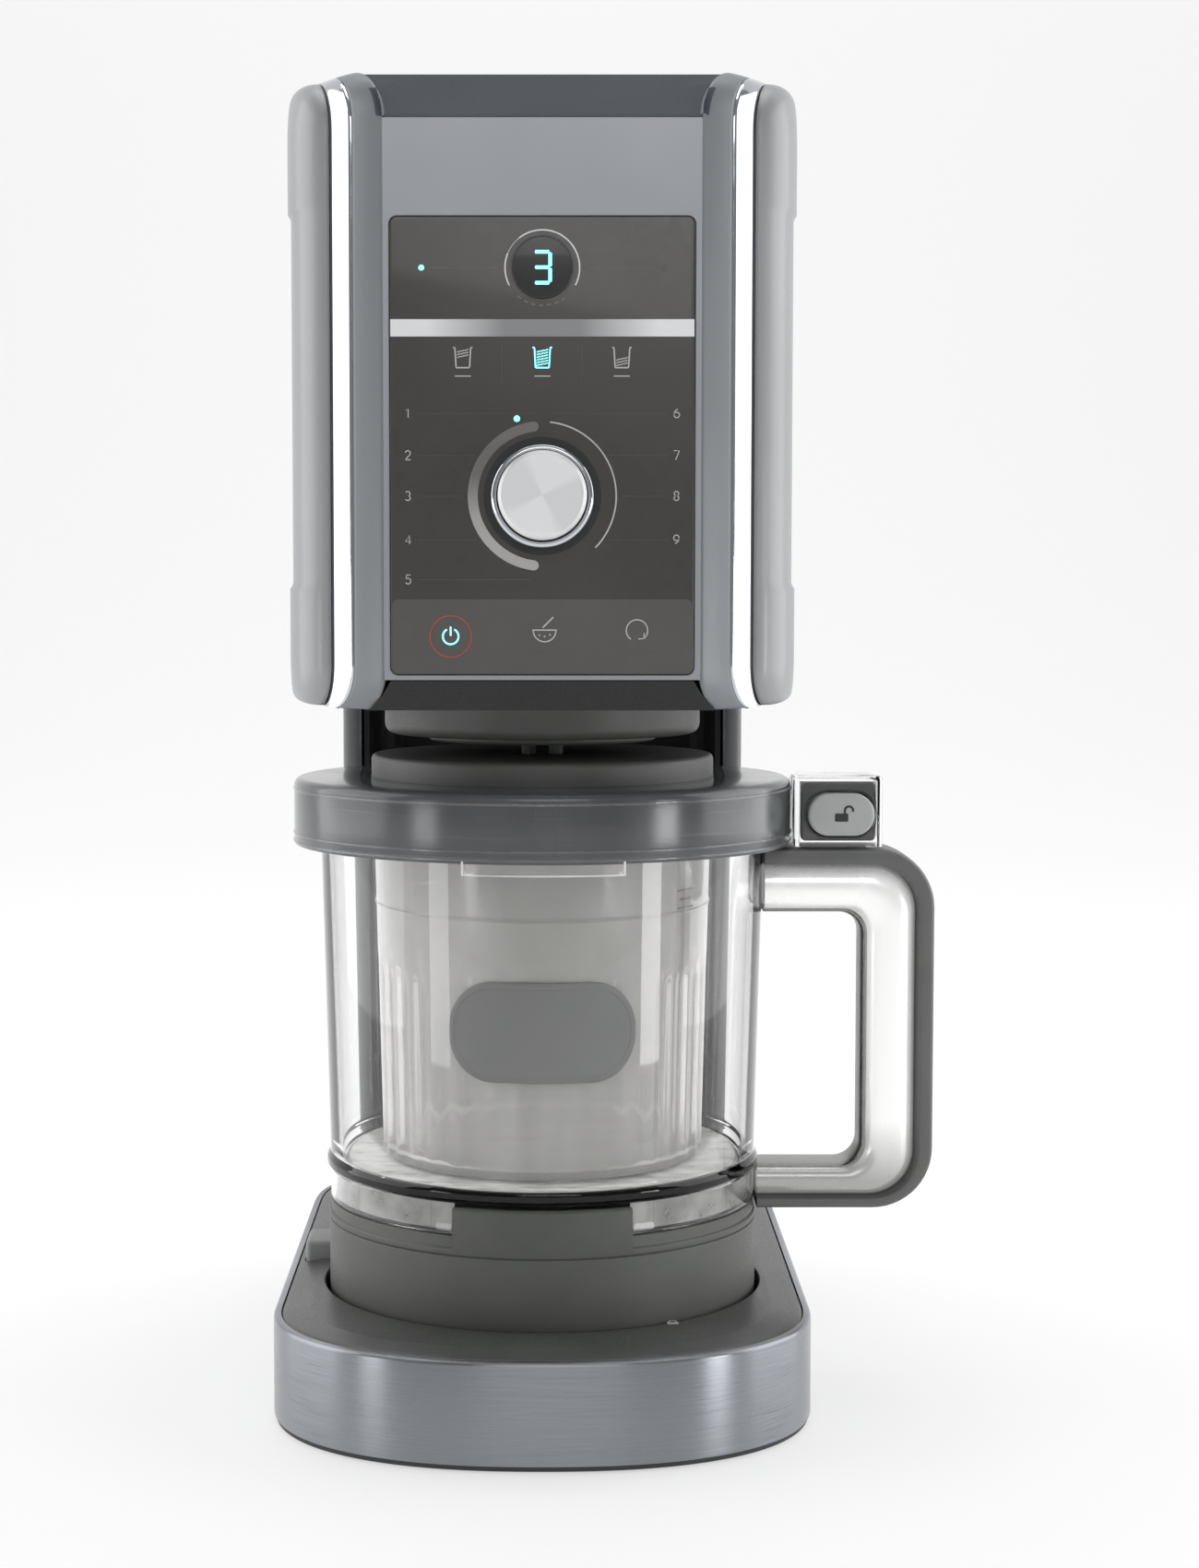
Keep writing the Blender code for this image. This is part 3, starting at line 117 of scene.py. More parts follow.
def spread(tree, value, low, high):
    """A 0 to 1 value spread from low to high."""
    links = {"Value": value, "From Min": 0.3, "From Max": 0.7, "To Min": low, "To Max": high}
    return add(tree, "ShaderNodeMapRange", links).outputs["Result"]


def relief(tree, shader, value, depth_mm, strength=1.0):
    """Bump of this depth on the shader."""
    links = {"Height": value, "Distance": depth_mm * MM, "Strength": strength}
    tree.links.new(add(tree, "ShaderNodeBump", links).outputs["Normal"], shader.inputs["Normal"])


def tint(tree, shader, value, first, second):
    """A colour that drifts between two hex values."""
    ramp = add(tree, "ShaderNodeValToRGB", {"Fac": value})
    ramp.color_ramp.elements[0].position = 0.35
    ramp.color_ramp.elements[1].position = 0.65
    ramp.color_ramp.elements[0].color = linear(first)
    ramp.color_ramp.elements[1].color = linear(second)
    tree.links.new(ramp.outputs["Color"], shader.inputs["Base Color"])


def metallic_painted_abs(name, first, second, metallic=0.35, roughness=0.36, coat=0.25, gloss=0.5):
    """ABS with a silver flake paint under clear lacquer: fine sparkle and a soft broad gloss."""
    made, tree, shader, place = material(
        name, first, Metallic=metallic, Coat_Weight=coat, Coat_Roughness=0.18, Specular_IOR_Level=gloss
    )
    tint(tree, shader, grain(tree, place, 42, detail=2), first, second)
    # Flakes are 0.05 mm across; drawn at 0.5 mm so that they show.
    flakes = grain(tree, place, 0.5, detail=2)
    tree.links.new(spread(tree, flakes, roughness - 0.05, roughness + 0.06), shader.inputs["Roughness"])
    relief(tree, shader, flakes, 0.006)
    return made


def moulded_plastic(name, first, second, roughness=0.5, depth_mm=0.02):
    """Injection-moulded ABS with a fine spark-eroded texture, 0.7 mm across so that it shows."""
    made, tree, shader, place = material(name, first, IOR=1.52)
    tint(tree, shader, grain(tree, place, 30, detail=3), first, second)
    pebble = grain(tree, place, 0.7, detail=2)
    tree.links.new(spread(tree, pebble, roughness - 0.07, roughness + 0.07), shader.inputs["Roughness"])
    relief(tree, shader, pebble, depth_mm)
    return made


def brushed_steel(name, first, second, stretch, roughness=0.3, drawn=0.0):
    """Stainless steel brushed one way: long fine lines, and a sheen that runs across them."""
    made, tree, shader, place = material(
        name, first, Metallic=1.0, Anisotropic=drawn, Anisotropic_Rotation=0.25
    )
    lines = grain(tree, place, 0.35, stretch, detail=4)
    tint(tree, shader, lines, first, second)
    tree.links.new(spread(tree, lines, roughness - 0.06, roughness + 0.08), shader.inputs["Roughness"])
    relief(tree, shader, lines, 0.004)
    return made


def chrome_plate(name):
    """Chromium over moulded ABS: a mirror with the faint waviness of the plastic below."""
    made, tree, shader, place = material(name, "CDD1D6", Metallic=1.0)
    haze = grain(tree, place, 9, detail=4)
    tree.links.new(spread(tree, haze, 0.07, 0.15), shader.inputs["Roughness"])
    relief(tree, shader, grain(tree, place, 14, detail=1), 0.01)
    return made


def clear_copolyester(name):
    """Clear moulded copolyester: sharp highlights, flow lines, and darker where it is seen edge on."""
    made, tree, shader, place = material(
        name, "FFFFFF", IOR=1.13, Transmission_Weight=1.0, Coat_Weight=0.6, Coat_Roughness=0.03
    )
    flow = grain(tree, place, 22, (1, 1, 3), detail=1)
    tree.links.new(spread(tree, flow, 0.02, 0.04), shader.inputs["Roughness"])
    relief(tree, shader, flow, 0.03, 0.6)
    return made


def milky_copolyester(name):
    """The pint's translucent plastic: it lets light through softly and glows pale grey from within."""
    made, tree, shader, place = material(
        name, "E6E5E2", IOR=1.35, Transmission_Weight=0.78, Coat_Weight=0.4, Coat_Roughness=0.05
    )
    flow = grain(tree, place, 16, (1, 1, 4), detail=2)
    tint(tree, shader, flow, "E8E7E4", "F6F5F3")
    tree.links.new(spread(tree, flow, 0.05, 0.09), shader.inputs["Roughness"])
    relief(tree, shader, flow, 0.03, 0.6)
    return made


def smoked_copolyester(name, first, second):
    """The lid's smoke-grey plastic: half clear and half cloudy, so that its walls keep an even grey
    body over light and dark alike, with sharp bright edges."""
    made, tree, shader, place = material(
        name, first, IOR=1.35, Transmission_Weight=0.68, Coat_Weight=0.35, Coat_Roughness=0.22
    )
    flow = grain(tree, place, 20, (1, 1, 3), detail=2)
    tint(tree, shader, flow, first, second)
    tree.links.new(spread(tree, flow, 0.14, 0.2), shader.inputs["Roughness"])
    relief(tree, shader, flow, 0.03, 0.6)
    return made


def frosted_grip(name, low_mm, high_mm):
    """Clear copolyester over a satin metallised inner face: pale silver, darker along the lower arm
    as painted shade, with fine upright flow lines and a faint painted glow."""
    made, tree, shader, place = material(
        name, "E4E4E2", IOR=1.5, Metallic=0.4, Coat_Weight=0.7, Coat_Roughness=0.05,
        Emission_Strength=0.15
    )
    # Painted light: a faint white glow that no lamp gives, to make the grip read brighter.
    shader.inputs["Emission Color"].default_value = linear("FFFFFF")
    # Painted shade: the colour darkens towards the lower arm, where the grip lies in shade.
    height = add(tree, "ShaderNodeSeparateXYZ", {"Vector": place}).outputs["Z"]
    links = {
        "Value": height, "From Min": low_mm * MM, "From Max": high_mm * MM, "To Min": 0.2, "To Max": 0.8
    }
    fade = add(tree, "ShaderNodeMapRange", links).outputs["Result"]
    tint(tree, shader, fade, "8E8E8B", "FDFDFC")
    flow = grain(tree, place, 5, (1, 1, 8), detail=2)
    tree.links.new(spread(tree, flow, 0.2, 0.3), shader.inputs["Roughness"])
    relief(tree, shader, flow, 0.01)
    return made


def frosted_copolyester(name, clear=0.0):
    """The spark-eroded parts of the clear bowl: a pale grey frost with glassy ripples in it. The
    share of light it passes is clear."""
    made, tree, shader, place = material(
        name, "D8D8D5", IOR=1.3, Transmission_Weight=clear, Coat_Weight=0.5, Coat_Roughness=0.08
    )
    ripple = grain(tree, place, 7, (2, 1, 1), detail=3)
    tint(tree, shader, ripple, "BDBDBA", "EDEDEB")
    tree.links.new(spread(tree, ripple, 0.25, 0.4), shader.inputs["Roughness"])
    relief(tree, shader, ripple, 0.25)
    return made


def panel_glaze(name, first, second):
    """Back-printed acrylic: an even dark field with a glossy face and a trace of haze."""
    made, tree, shader, place = material(name, first, IOR=1.49, Coat_Weight=0.3, Coat_Roughness=0.06)
    tint(tree, shader, grain(tree, place, 60, detail=2), first, second)
    haze = grain(tree, place, 3, detail=4)
    tree.links.new(spread(tree, haze, 0.28, 0.36), shader.inputs["Roughness"])
    relief(tree, shader, grain(tree, place, 25, detail=1), 0.01)
    return made


def printed_ink(name, colour, roughness=0.45):
    """Screen-printed ink, with the slight mottle of its film."""
    made, tree, shader, place = material(name, colour)
    film = grain(tree, place, 0.6, detail=2)
    tree.links.new(spread(tree, film, roughness - 0.06, roughness + 0.06), shader.inputs["Roughness"])
    relief(tree, shader, film, 0.004)
    return made


def lit_segment(name, colour, strength):
    """A light guide over an LED: a flat glow, with a faint bump over its face."""
    made, tree, shader, place = material(name, colour, Roughness=0.4, Emission_Strength=strength)
    shader.inputs["Emission Color"].default_value = linear(colour)
    relief(tree, shader, grain(tree, place, 1.0, detail=1), 0.004)
    return made


def spun_aluminium(name, centre):
    """A turned and brushed aluminium face: fine rings about the dial's axis, with a painted sheen that
    lightens its colour in fans round the axis.
    """
    made, tree, shader, place = material(name, "DDDEDF", Metallic=0.5)
    shift = tuple(-float(c) for c in to_world(centre))
    local = add(tree, "ShaderNodeMapping", {"Vector": place, "Location": shift}).outputs["Vector"]
    parts = add(tree, "ShaderNodeSeparateXYZ", {"Vector": local}).outputs
    flat = add(tree, "ShaderNodeCombineXYZ", {"X": parts["X"], "Z": parts["Z"]}).outputs["Vector"]
    radius = add(tree, "ShaderNodeVectorMath", {0: flat}, operation="LENGTH").outputs["Value"]
    # The lathe's rings are 0.1 mm apart; drawn at 0.4 mm so that they show.
    rings = add(
        tree, "ShaderNodeTexNoise", {"W": radius, "Scale": 1 / (0.4 * MM)}, noise_dimensions="1D"
    )
    # Painted sheen: the colour brightens and darkens twice round the axis, as a spun face's reflection
    # does under lamps.
    turn = add(tree, "ShaderNodeMath", {0: parts["X"], 1: parts["Z"]}, operation="ARCTAN2").outputs[0]
    fans = add(tree, "ShaderNodeMath", {0: turn, 1: 2.0}, operation="MULTIPLY").outputs[0]
    fans = add(tree, "ShaderNodeMath", {0: fans, 1: 0.9}, operation="ADD").outputs[0]
    wave = add(tree, "ShaderNodeMath", {0: fans}, operation="SINE").outputs[0]
    links = {"Value": wave, "From Min": -1.0, "From Max": 1.0}
    painted_sheen = add(tree, "ShaderNodeMapRange", links).outputs["Result"]
    tint(tree, shader, painted_sheen, "DADBDC", "E6E7E8")
    tree.links.new(spread(tree, rings.outputs["Fac"], 0.42, 0.54), shader.inputs["Roughness"])
    relief(tree, shader, rings.outputs["Fac"], 0.008)
    return made


def fading_foil(name):
    """Hot foil printed over a screen that thins towards the middle: bright ends, a greyer middle."""
    made, tree, shader, place = material(name, "C9CACB", Metallic=0.8)
    across = add(tree, "ShaderNodeSeparateXYZ", {"Vector": place}).outputs["X"]
    out = add(tree, "ShaderNodeMath", {0: across, 1: float(-AXIS[0])}, operation="ADD").outputs[0]
    out = add(tree, "ShaderNodeMath", {0: out}, operation="ABSOLUTE").outputs[0]
    fade = add(
        tree, "ShaderNodeMapRange",
        {"Value": out, "From Min": 0.0, "From Max": 46 * MM, "To Min": 0.2, "To Max": 0.8}
    )
    tint(tree, shader, fade.outputs["Result"], "8F9091", "E4E5E6")
    lines = grain(tree, place, 0.35, (30, 1, 1), detail=4)
    tree.links.new(spread(tree, lines, 0.34, 0.46), shader.inputs["Roughness"])
    relief(tree, shader, lines, 0.004)
    return made


def rubber(name):
    """Moulded silicone rubber: matte, with a fine dusty bloom."""
    made, tree, shader, place = material(name, "2B2C2C", IOR=1.45, Sheen_Weight=0.2)
    bloom = grain(tree, place, 1.5, detail=4)
    tint(tree, shader, bloom, "262727", "343535")
    tree.links.new(spread(tree, bloom, 0.7, 0.85), shader.inputs["Roughness"])
    relief(tree, shader, bloom, 0.03)
    return made


def glass_fibre_board(name):
    """A circuit board: green solder mask over glass weave, with lighter traces."""
    made, tree, shader, place = material(name, "27523A", IOR=1.5, Coat_Weight=0.5)
    links = {"Vector": place, "Scale": 1 / (6 * MM), "Randomness": 0.4}
    traces = add(tree, "ShaderNodeTexVoronoi", links, feature="DISTANCE_TO_EDGE").outputs["Distance"]
    near = add(tree, "ShaderNodeMapRange", {"Value": traces, "From Max": 0.12}).outputs["Result"]
    tint(tree, shader, near, "4D8A5E", "27523A")
    tree.links.new(spread(tree, near, 0.3, 0.42), shader.inputs["Roughness"])
    relief(tree, shader, near, 0.05)
    return made


# ---------------------------------------------------------------- shapes


def rounded(corners, steps=6):
    """An outline through (a, b, radius) corners. Each corner is a quarter-like curve: the quadratic
    curve that leaves one side at the radius' distance from the corner and joins the next."""
    corners = [np.array(c, float) for c in corners]
    points = []
    for i, corner in enumerate(corners):
        here, radius = corner[:2], corner[2]
        before, after = corners[i - 1][:2], corners[(i + 1) % len(corners)][:2]
        if radius <= 0:
            points.append(here[None])
            continue
        first = here + (before - here) / np.linalg.norm(before - here) * radius
        last = here + (after - here) / np.linalg.norm(after - here) * radius
        t = np.linspace(0, 1, steps + 1)[:, None]
        pull = 0.82  # a plain quadratic curve is too sharp for a round corner
        bend = here * pull + (first + last) / 2 * (1 - pull)
        points.append((1 - t) ** 2 * first + 2 * t * (1 - t) * bend + t**2 * last)
    return np.concatenate(points)


def grid_faces(rows, columns, wrap_rows, wrap_columns):
    """Quads over a grid of points stored row by row, closed on itself where it wraps."""
    i = np.arange(rows if wrap_rows else rows - 1)[:, None]
    j = np.arange(columns if wrap_columns else columns - 1)[None]
    after_i, after_j = (i + 1) % rows, (j + 1) % columns
    corners = (
        i * columns + j, after_i * columns + j, after_i * columns + after_j, i * columns + after_j
    )
    return np.stack([np.broadcast_to(c, (i.size, j.size)) for c in corners], -1).reshape(-1, 4)


def surface(grid, wrap_rows=False, wrap_columns=False, caps=False):
    """(points, faces) of a grid of points. Caps close its first and last rows with flat faces."""
    rows, columns = grid.shape[:2]
    faces = grid_faces(rows, columns, wrap_rows, wrap_columns).tolist()
    if caps:
        faces.append(list(range(columns)))
        faces.append(list(range((rows - 1) * columns, rows * columns)))
    return grid.reshape(-1, 3), faces


def revolve(profile, steps=144, start=0.0, end=360.0):
    """A closed (radius, z) profile turned about the spindle's axis. Point (i, j) is profile point i
    at angle j. Less than a full turn gets flat ends."""
    whole = end - start >= 360
    angle = np.radians(np.linspace(start, end, steps, endpoint=not whole))
    r, z = profile[:, 0][None], profile[:, 1][None]
    c, s = np.cos(angle)[:, None], np.sin(angle)[:, None]
    grid = np.stack([r * c, r * s, np.broadcast_to(z, (steps, z.size))], -1)
    return surface(grid, wrap_rows=whole, wrap_columns=True, caps=not whole)


def forward(shape, x, y, z):
    """A shape drawn or turned about Z, stood up at a place: its +Z runs to the front."""
    points, faces = shape
    return np.stack([points[:, 0] + x, y - points[:, 2], points[:, 1] + z], -1), faces


def level(outline, z):
    """An outline in X and Y, laid at a height."""
    return np.column_stack([outline, np.full(len(outline), z)])


def standing(outline, y):
    """An outline in X and Z, stood up at a depth."""
    return np.stack([outline[:, 0], np.full(len(outline), y), outline[:, 1]], -1)


def rectangle(half_w, half_h, radius, count=8):
    """A function of the inset that gives the outline of a rounded rectangle: each corner point is
    the corner's centre plus r (cos a, sin a)."""

    def outline(inset):
        w, h, r = half_w - inset, half_h - inset, max(radius - inset, 0.01)
        quarter = np.radians(np.linspace(0, 90, count + 1))
        parts = []
        for sx, sy, start in ((1, 1, 0), (-1, 1, 90), (-1, -1, 180), (1, -1, 270)):
            angle = quarter + np.radians(start)
            parts.append(
                np.stack([sx * (w - r) + r * np.cos(angle), sy * (h - r) + r * np.sin(angle)], -1)
            )
        return np.concatenate(parts)

    return outline


def disc(radius, count=64):
    """A function of the inset that gives a circle."""

    def outline(inset):
        angle = np.linspace(0, 2 * PI, count, endpoint=False)
        return (radius - inset) * np.stack([np.cos(angle), np.sin(angle)], -1)

    return outline


def even(line, count):
    """A closed line's points set at even steps along its length."""
    ring = np.concatenate([line, line[:1]])
    length = np.concatenate([[0.0], np.cumsum(np.linalg.norm(np.diff(ring, axis=0), axis=1))])
    at = np.linspace(0, length[-1], count, endpoint=False)
    return np.stack([np.interp(at, length, ring[:, k]) for k in (0, 1)], -1)


def slab(outline, low, high, edge_low=0.0, edge_high=0.0, steps=5):
    """An outline carried from low to high, with round edges: along an edge of radius r the outline
    is inset by r(1 - cos a) while it climbs r sin a. Both ends are flat."""
    turn = np.radians(np.linspace(0, 90, steps + 1))
    levels = [(0.0, low)]
    if edge_low:
        levels = [(edge_low * (1 - np.cos(a)), low + edge_low * (1 - np.sin(a))) for a in turn[::-1]]
    if edge_high:
        levels += [(edge_high * (1 - np.cos(a)), high - edge_high * (1 - np.sin(a))) for a in turn]
    else:
        levels.append((0.0, high))
    grid = np.stack([level(outline(inset), z) for inset, z in levels])
    return surface(grid, wrap_columns=True, caps=True)


def moved(shape, offset):
    """A shape moved by (x, y, z)."""
    return shape[0] + np.asarray(offset, float), shape[1]


def mirror_x(shape):
    """A shape mirrored from one side of the machine to the other."""
    return shape[0] * (-1, 1, 1), shape[1]


def joined(*shapes):
    """Several shapes as one."""
    points, faces, start = [], [], 0
    for shape_points, shape_faces in shapes:
        points.append(shape_points)
        faces += [[index + start for index in face] for face in shape_faces]
        start += len(shape_points)
    return np.concatenate(points), faces


def piece(name, shape, finish, body, replaces=(), sharp=SHARP):
    """A closed mesh that rides on a body: doubles merged, faces out, shaded smooth but at its edges."""
    points, faces = shape
    mesh = bpy.data.meshes.new(name)
    mesh.from_pydata(to_world(points).tolist(), [], faces)
    work = bmesh.new()
    work.from_mesh(mesh)
    bmesh.ops.remove_doubles(work, verts=work.verts, dist=2e-6)
    bmesh.ops.recalc_face_normals(work, faces=work.faces)
    work.to_mesh(mesh)
    work.free()
    mesh.shade_smooth()
    mesh.set_sharp_from_angle(angle=np.radians(sharp))
    made = bpy.data.objects.new(name, mesh)
    bpy.context.scene.collection.objects.link(made)
    mesh.materials.append(finish)
    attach(made, body)
    if replaces:
        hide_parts(*replaces)
    return made


def ribbon(line, width, face_y, thick=0.09, closed=False):
    """A flat printed line on the panel: a thin rectangle carried along points in the (x, z) plane.
    Its sides are set off along the line's normal at each point, by half the width there."""
    line = np.asarray(line, float)
    ahead = np.roll(line, -1, 0) - np.roll(line, 1, 0) if closed else np.gradient(line, axis=0)
    ahead /= np.linalg.norm(ahead, axis=1)[:, None]
    side = np.stack([-ahead[:, 1], ahead[:, 0]], -1) * np.broadcast_to(width, len(line))[:, None]
    corners = ((-0.5, 0), (0.5, 0), (0.5, 1), (-0.5, 1))
    columns = [standing(line + share * side, face_y - lift * thick) for share, lift in corners]
    return surface(np.stack(columns, 1), wrap_rows=closed, wrap_columns=True, caps=not closed)


def arc_line(x, z, radius, start, end, count=40):
    """Points round a circle in the (x, z) plane, between two angles in degrees."""
    angle = np.radians(np.linspace(start, end, count))
    return np.stack([x + radius * np.cos(angle), z + radius * np.sin(angle)], -1)


def round_ended(x, z, radius, start, end, width, face_y, count=90):
    """A thick arc with round ends: its width is w sqrt(1 - (1 - 2 s / w)^2) within w / 2 of an end."""
    turn = (end - start) / 2 * (1 - np.cos(np.linspace(0, PI, count))) + start
    length = np.radians(np.minimum(turn - start, end - turn)) * radius
    share = np.clip(2 * length / width, 0, 1)
    widths = width * np.sqrt(np.clip(1 - (1 - share) ** 2, 0.001, 1))
    angle = np.radians(turn)
    line = np.stack([x + radius * np.cos(angle), z + radius * np.sin(angle)], -1)
    return ribbon(line, widths, face_y)


def dot(x, z, radius, face_y, thick=0.12):
    """A printed dot on the panel."""
    return forward(slab(disc(radius, 24), 0, thick), x, face_y, z)


def seven_bars(lit, x, z, height, face_y, thick=0.09):
    """A figure of a seven-bar display with its lower left corner at (x, z). Each bar is a ribbon
    that comes to a point at both ends."""
    w, h, half, pen = height * 0.52, height, height / 2, height * 0.115
    ends = (
        ((0, h), (w, h)),
        ((w, h), (w, half)),
        ((w, half), (w, 0)),
        ((0, 0), (w, 0)),
        ((0, half), (0, 0)),
        ((0, h), (0, half)),
        ((0, half), (w, half)),
    )
    taper = 0.03 + pen / 2 / h
    share = np.array([0.03, taper, 1 - taper, 0.97])
    bars = []
    for index in lit:
        first, last = np.array(ends[index], float)
        line = first + (last - first) * share[:, None] + (x, z)
        bars.append(ribbon(line, pen * np.array([0.05, 1, 1, 0.05]), face_y, thick))
    return joined(*bars)


def numeral(value, x, z, height, face_y, pen=0.3):
    """A plain numeral drawn with a round pen: straight strokes and arcs of circles, in a box 0.6 wide
    and 1 high that is scaled to the height."""
    low, high = arc_line(0.3, 0.3, 0.3, 90, 450, 25), arc_line(0.3, 0.76, 0.24, -90, 270, 21)
    strokes = {
        1: [[(0.12, 0.8), (0.36, 1.0), (0.36, 0.0)]],
        2: [
            np.concatenate([arc_line(0.3, 0.72, 0.28, 165, -38, 12), [(0.02, 0.0)]]),
            [(0.02, 0.0), (0.62, 0.0)]
        ],
        3: [arc_line(0.28, 0.75, 0.25, 150, -90, 12), arc_line(0.28, 0.27, 0.27, 90, -150, 13)],
        4: [[(0.46, 0.0), (0.46, 1.0), (0.0, 0.28), (0.64, 0.28)]],
        5: [[(0.56, 1.0), (0.12, 1.0), (0.07, 0.54)], arc_line(0.28, 0.32, 0.31, 132, -145, 14)],
        6: [low, arc_line(0.62, 0.34, 0.62, 180, 108, 8)],
        7: [[(0.0, 1.0), (0.6, 1.0), (0.2, 0.0)]],
        8: [arc_line(0.3, 0.26, 0.26, 90, 450, 21), high],
        9: [(0.6, 1.0) - low, (0.6, 1.0) - arc_line(0.62, 0.34, 0.62, 180, 108, 8)],
    }
    lines = [np.asarray(stroke) * height + (x, z) for stroke in strokes[value]]
    return joined(*(ribbon(line, pen, face_y) for line in lines))


# ---------------------------------------------------------------- sizes from the frame

BAND, PLATE, TRAY, RELEASE = map(
    node_box, ("base_band", "base_top_plate", "base_tray", "release_button")
)
PLATFORM, BOWL, FOOT, PINT = map(node_box, ("platform_ring", "outer_bowl", "bowl_foot", "pint"))
GRIP, STRIP, RING, HUB = map(node_box, ("bowl_handle", "handle_strip", "lid_ring", "lid_hub"))
LATCH, BUTTON, COLUMN, SHELL = map(
    node_box, ("latch_box", "lid_button", "column_shell", "head_front_shell")
)
SIDE, CHIN, TOP, REAR = map(node_box, ("side_panel_right", "chin_panel", "top_cover", "rear_cover"))
PANEL, LENS, BEZEL, CAP = map(node_box, ("control_panel", "display_lens", "knob_bezel", "knob_cap"))
HOUSING, COLLAR = map(node_box, ("coupling_housing", "coupling_collar"))
HEAD_TOP = float(TOP[1][2])
FACE_Y = float(SHELL[0][1])
PANEL_Y = float(PANEL[0][1])
HEAD_HALF = float(SIDE[1][0])
REAR_Y = float(SIDE[1][1]) + 0.4
HEAD_BACK = float(REAR[1][1])
CHIN_Z = float(CHIN[0][2])
PLATFORM_R = float(PLATFORM[1][0])
BOWL_RIM_R = float(BOWL[1][0])
BOWL_FOOT_R = PLATFORM_R - 0.5
LID_R = float(RING[1][0])

# Shapes that the base and the head share with the frame
FRONT_LENGTH, FRONT_POWER, REAR_LENGTH, REAR_POWER = 68.0, 2.3, 65.0, 3.0


def base_edge(inset, count=56):
    """The base in plan: two quarters of a superellipse to the front, |x/a|^2.3 + |y/b|^2.3 = 1, and
    two squarer ones to the back, with the straight sides between them."""
    half, front, back = BAND[1][0] - inset, BAND[0][1], BAND[1][1]
    turn = np.linspace(0, PI / 2, count)
    fx = half * np.sin(turn) ** (2 / FRONT_POWER)
    fy = front + FRONT_LENGTH - (FRONT_LENGTH - inset) * np.cos(turn) ** (2 / FRONT_POWER)
    bx = half * np.cos(turn) ** (2 / REAR_POWER)
    by = back - REAR_LENGTH + (REAR_LENGTH - inset) * np.sin(turn) ** (2 / REAR_POWER)
    corner, rear = np.stack([fx, fy], -1), np.stack([bx, by], -1)
    right = np.concatenate([corner, np.linspace(corner[-1], rear[0], 40)[1:-1], rear])
    left = right[-2:0:-1] * (-1, 1)
    return np.concatenate([right, left])


def round_the_base(profile):
    """A closed (inset, z) profile carried round the base's edge."""
    grid = np.stack([level(base_edge(inset), z) for inset, z in profile], 1)
    return surface(grid, wrap_rows=True, wrap_columns=True)


# ---------------------------------------------------------------- finishes

SILVER = metallic_painted_abs("silver_painted_abs", "979A9F", "9B9EA3")
# Painted shade: the cheeks wear the face's silver paint, drawn darker as they look where they turn to
# the side.
CHEEK_SHADED_SILVER = metallic_painted_abs(
    "cheek_silver_abs_painted_shade", "777B7F", "7A7E82", metallic=0.12, coat=0.0
)
# Painted shade: the brow wears the face's silver paint, drawn dark and dull as it looks where it leans
# back and mirrors a dark room.
BROW_SHADED_SILVER = metallic_painted_abs(
    "brow_silver_abs_painted_shade", "3A4047", "40464E", metallic=0.1, roughness=0.6, coat=0.0, gloss=0.2
)
PALE = metallic_painted_abs("pale_painted_abs", "929496", "959799", metallic=0.12, roughness=0.42)
# Painted shade: the column wears the side panels' pale paint, drawn darker for the shade of the head
# above it.
COLUMN_SHADED_GREY = metallic_painted_abs(
    "column_abs_painted_shade", "797B7D", "7C7E80", metallic=0.12, roughness=0.42
)
CHROME = chrome_plate("chrome_plated_abs")
DARK = moulded_plastic("dark_grey_moulded_abs", "4B4D4A", "525451")
DECK = moulded_plastic("deck_moulded_abs", "484A48", "4F514F", roughness=0.36, depth_mm=0.01)
BLACK = moulded_plastic("black_moulded_abs", "232524", "2B2D2C", roughness=0.55)
RECESS = moulded_plastic("recess_black_abs", "111212", "171818", roughness=0.6)
GREY = moulded_plastic("grey_moulded_pp", "858786", "8E908F", roughness=0.45)
# Painted light: the lid button is the grey moulding, drawn lighter to make up for the light that the
# clear latch box takes from it.
KEY_GREY_PAINTED_LIGHT = moulded_plastic("key_grey_pp_painted_light", "A6A8A7", "AEB0AF", roughness=0.45)
# The handle strip's grey is partly painted highlight: lighter than the dark moulding it is made of, to
# carry the highlight along its side.
STRIP_GREY_PAINTED_HIGHLIGHT = moulded_plastic("strip_grey_pp_painted_highlight", "5E605E", "656765", roughness=0.4)
BAND_STEEL = brushed_steel(
    "brushed_stainless_band", "8A8D92", "94979C", (60, 60, 1), roughness=0.32, drawn=0.9
)
PARTS_STEEL = brushed_steel("machined_steel", "A6A8AA", "BBBDBF", (1, 1, 20), roughness=0.28)
# Painted shade: the spindle is steel like the other shafts, drawn near-black for the shade between the
# coupling housing and the lid's hub.
SPINDLE_STEEL_PAINTED_SHADE = brushed_steel("spindle_steel_painted_shade", "2A2B2C", "333436", (1, 1, 20), roughness=0.4)
MOTOR_STEEL = moulded_plastic("painted_motor_steel", "36383A", "3E4042", roughness=0.4)
CLEAR = clear_copolyester("clear_copolyester")
PINT_CLEAR = milky_copolyester("milky_pint_copolyester")
SMOKE = smoked_copolyester("smoked_lid_copolyester", "74787B", "808487")
FROST = frosted_grip("satin_grip_copolyester", 60, 100)
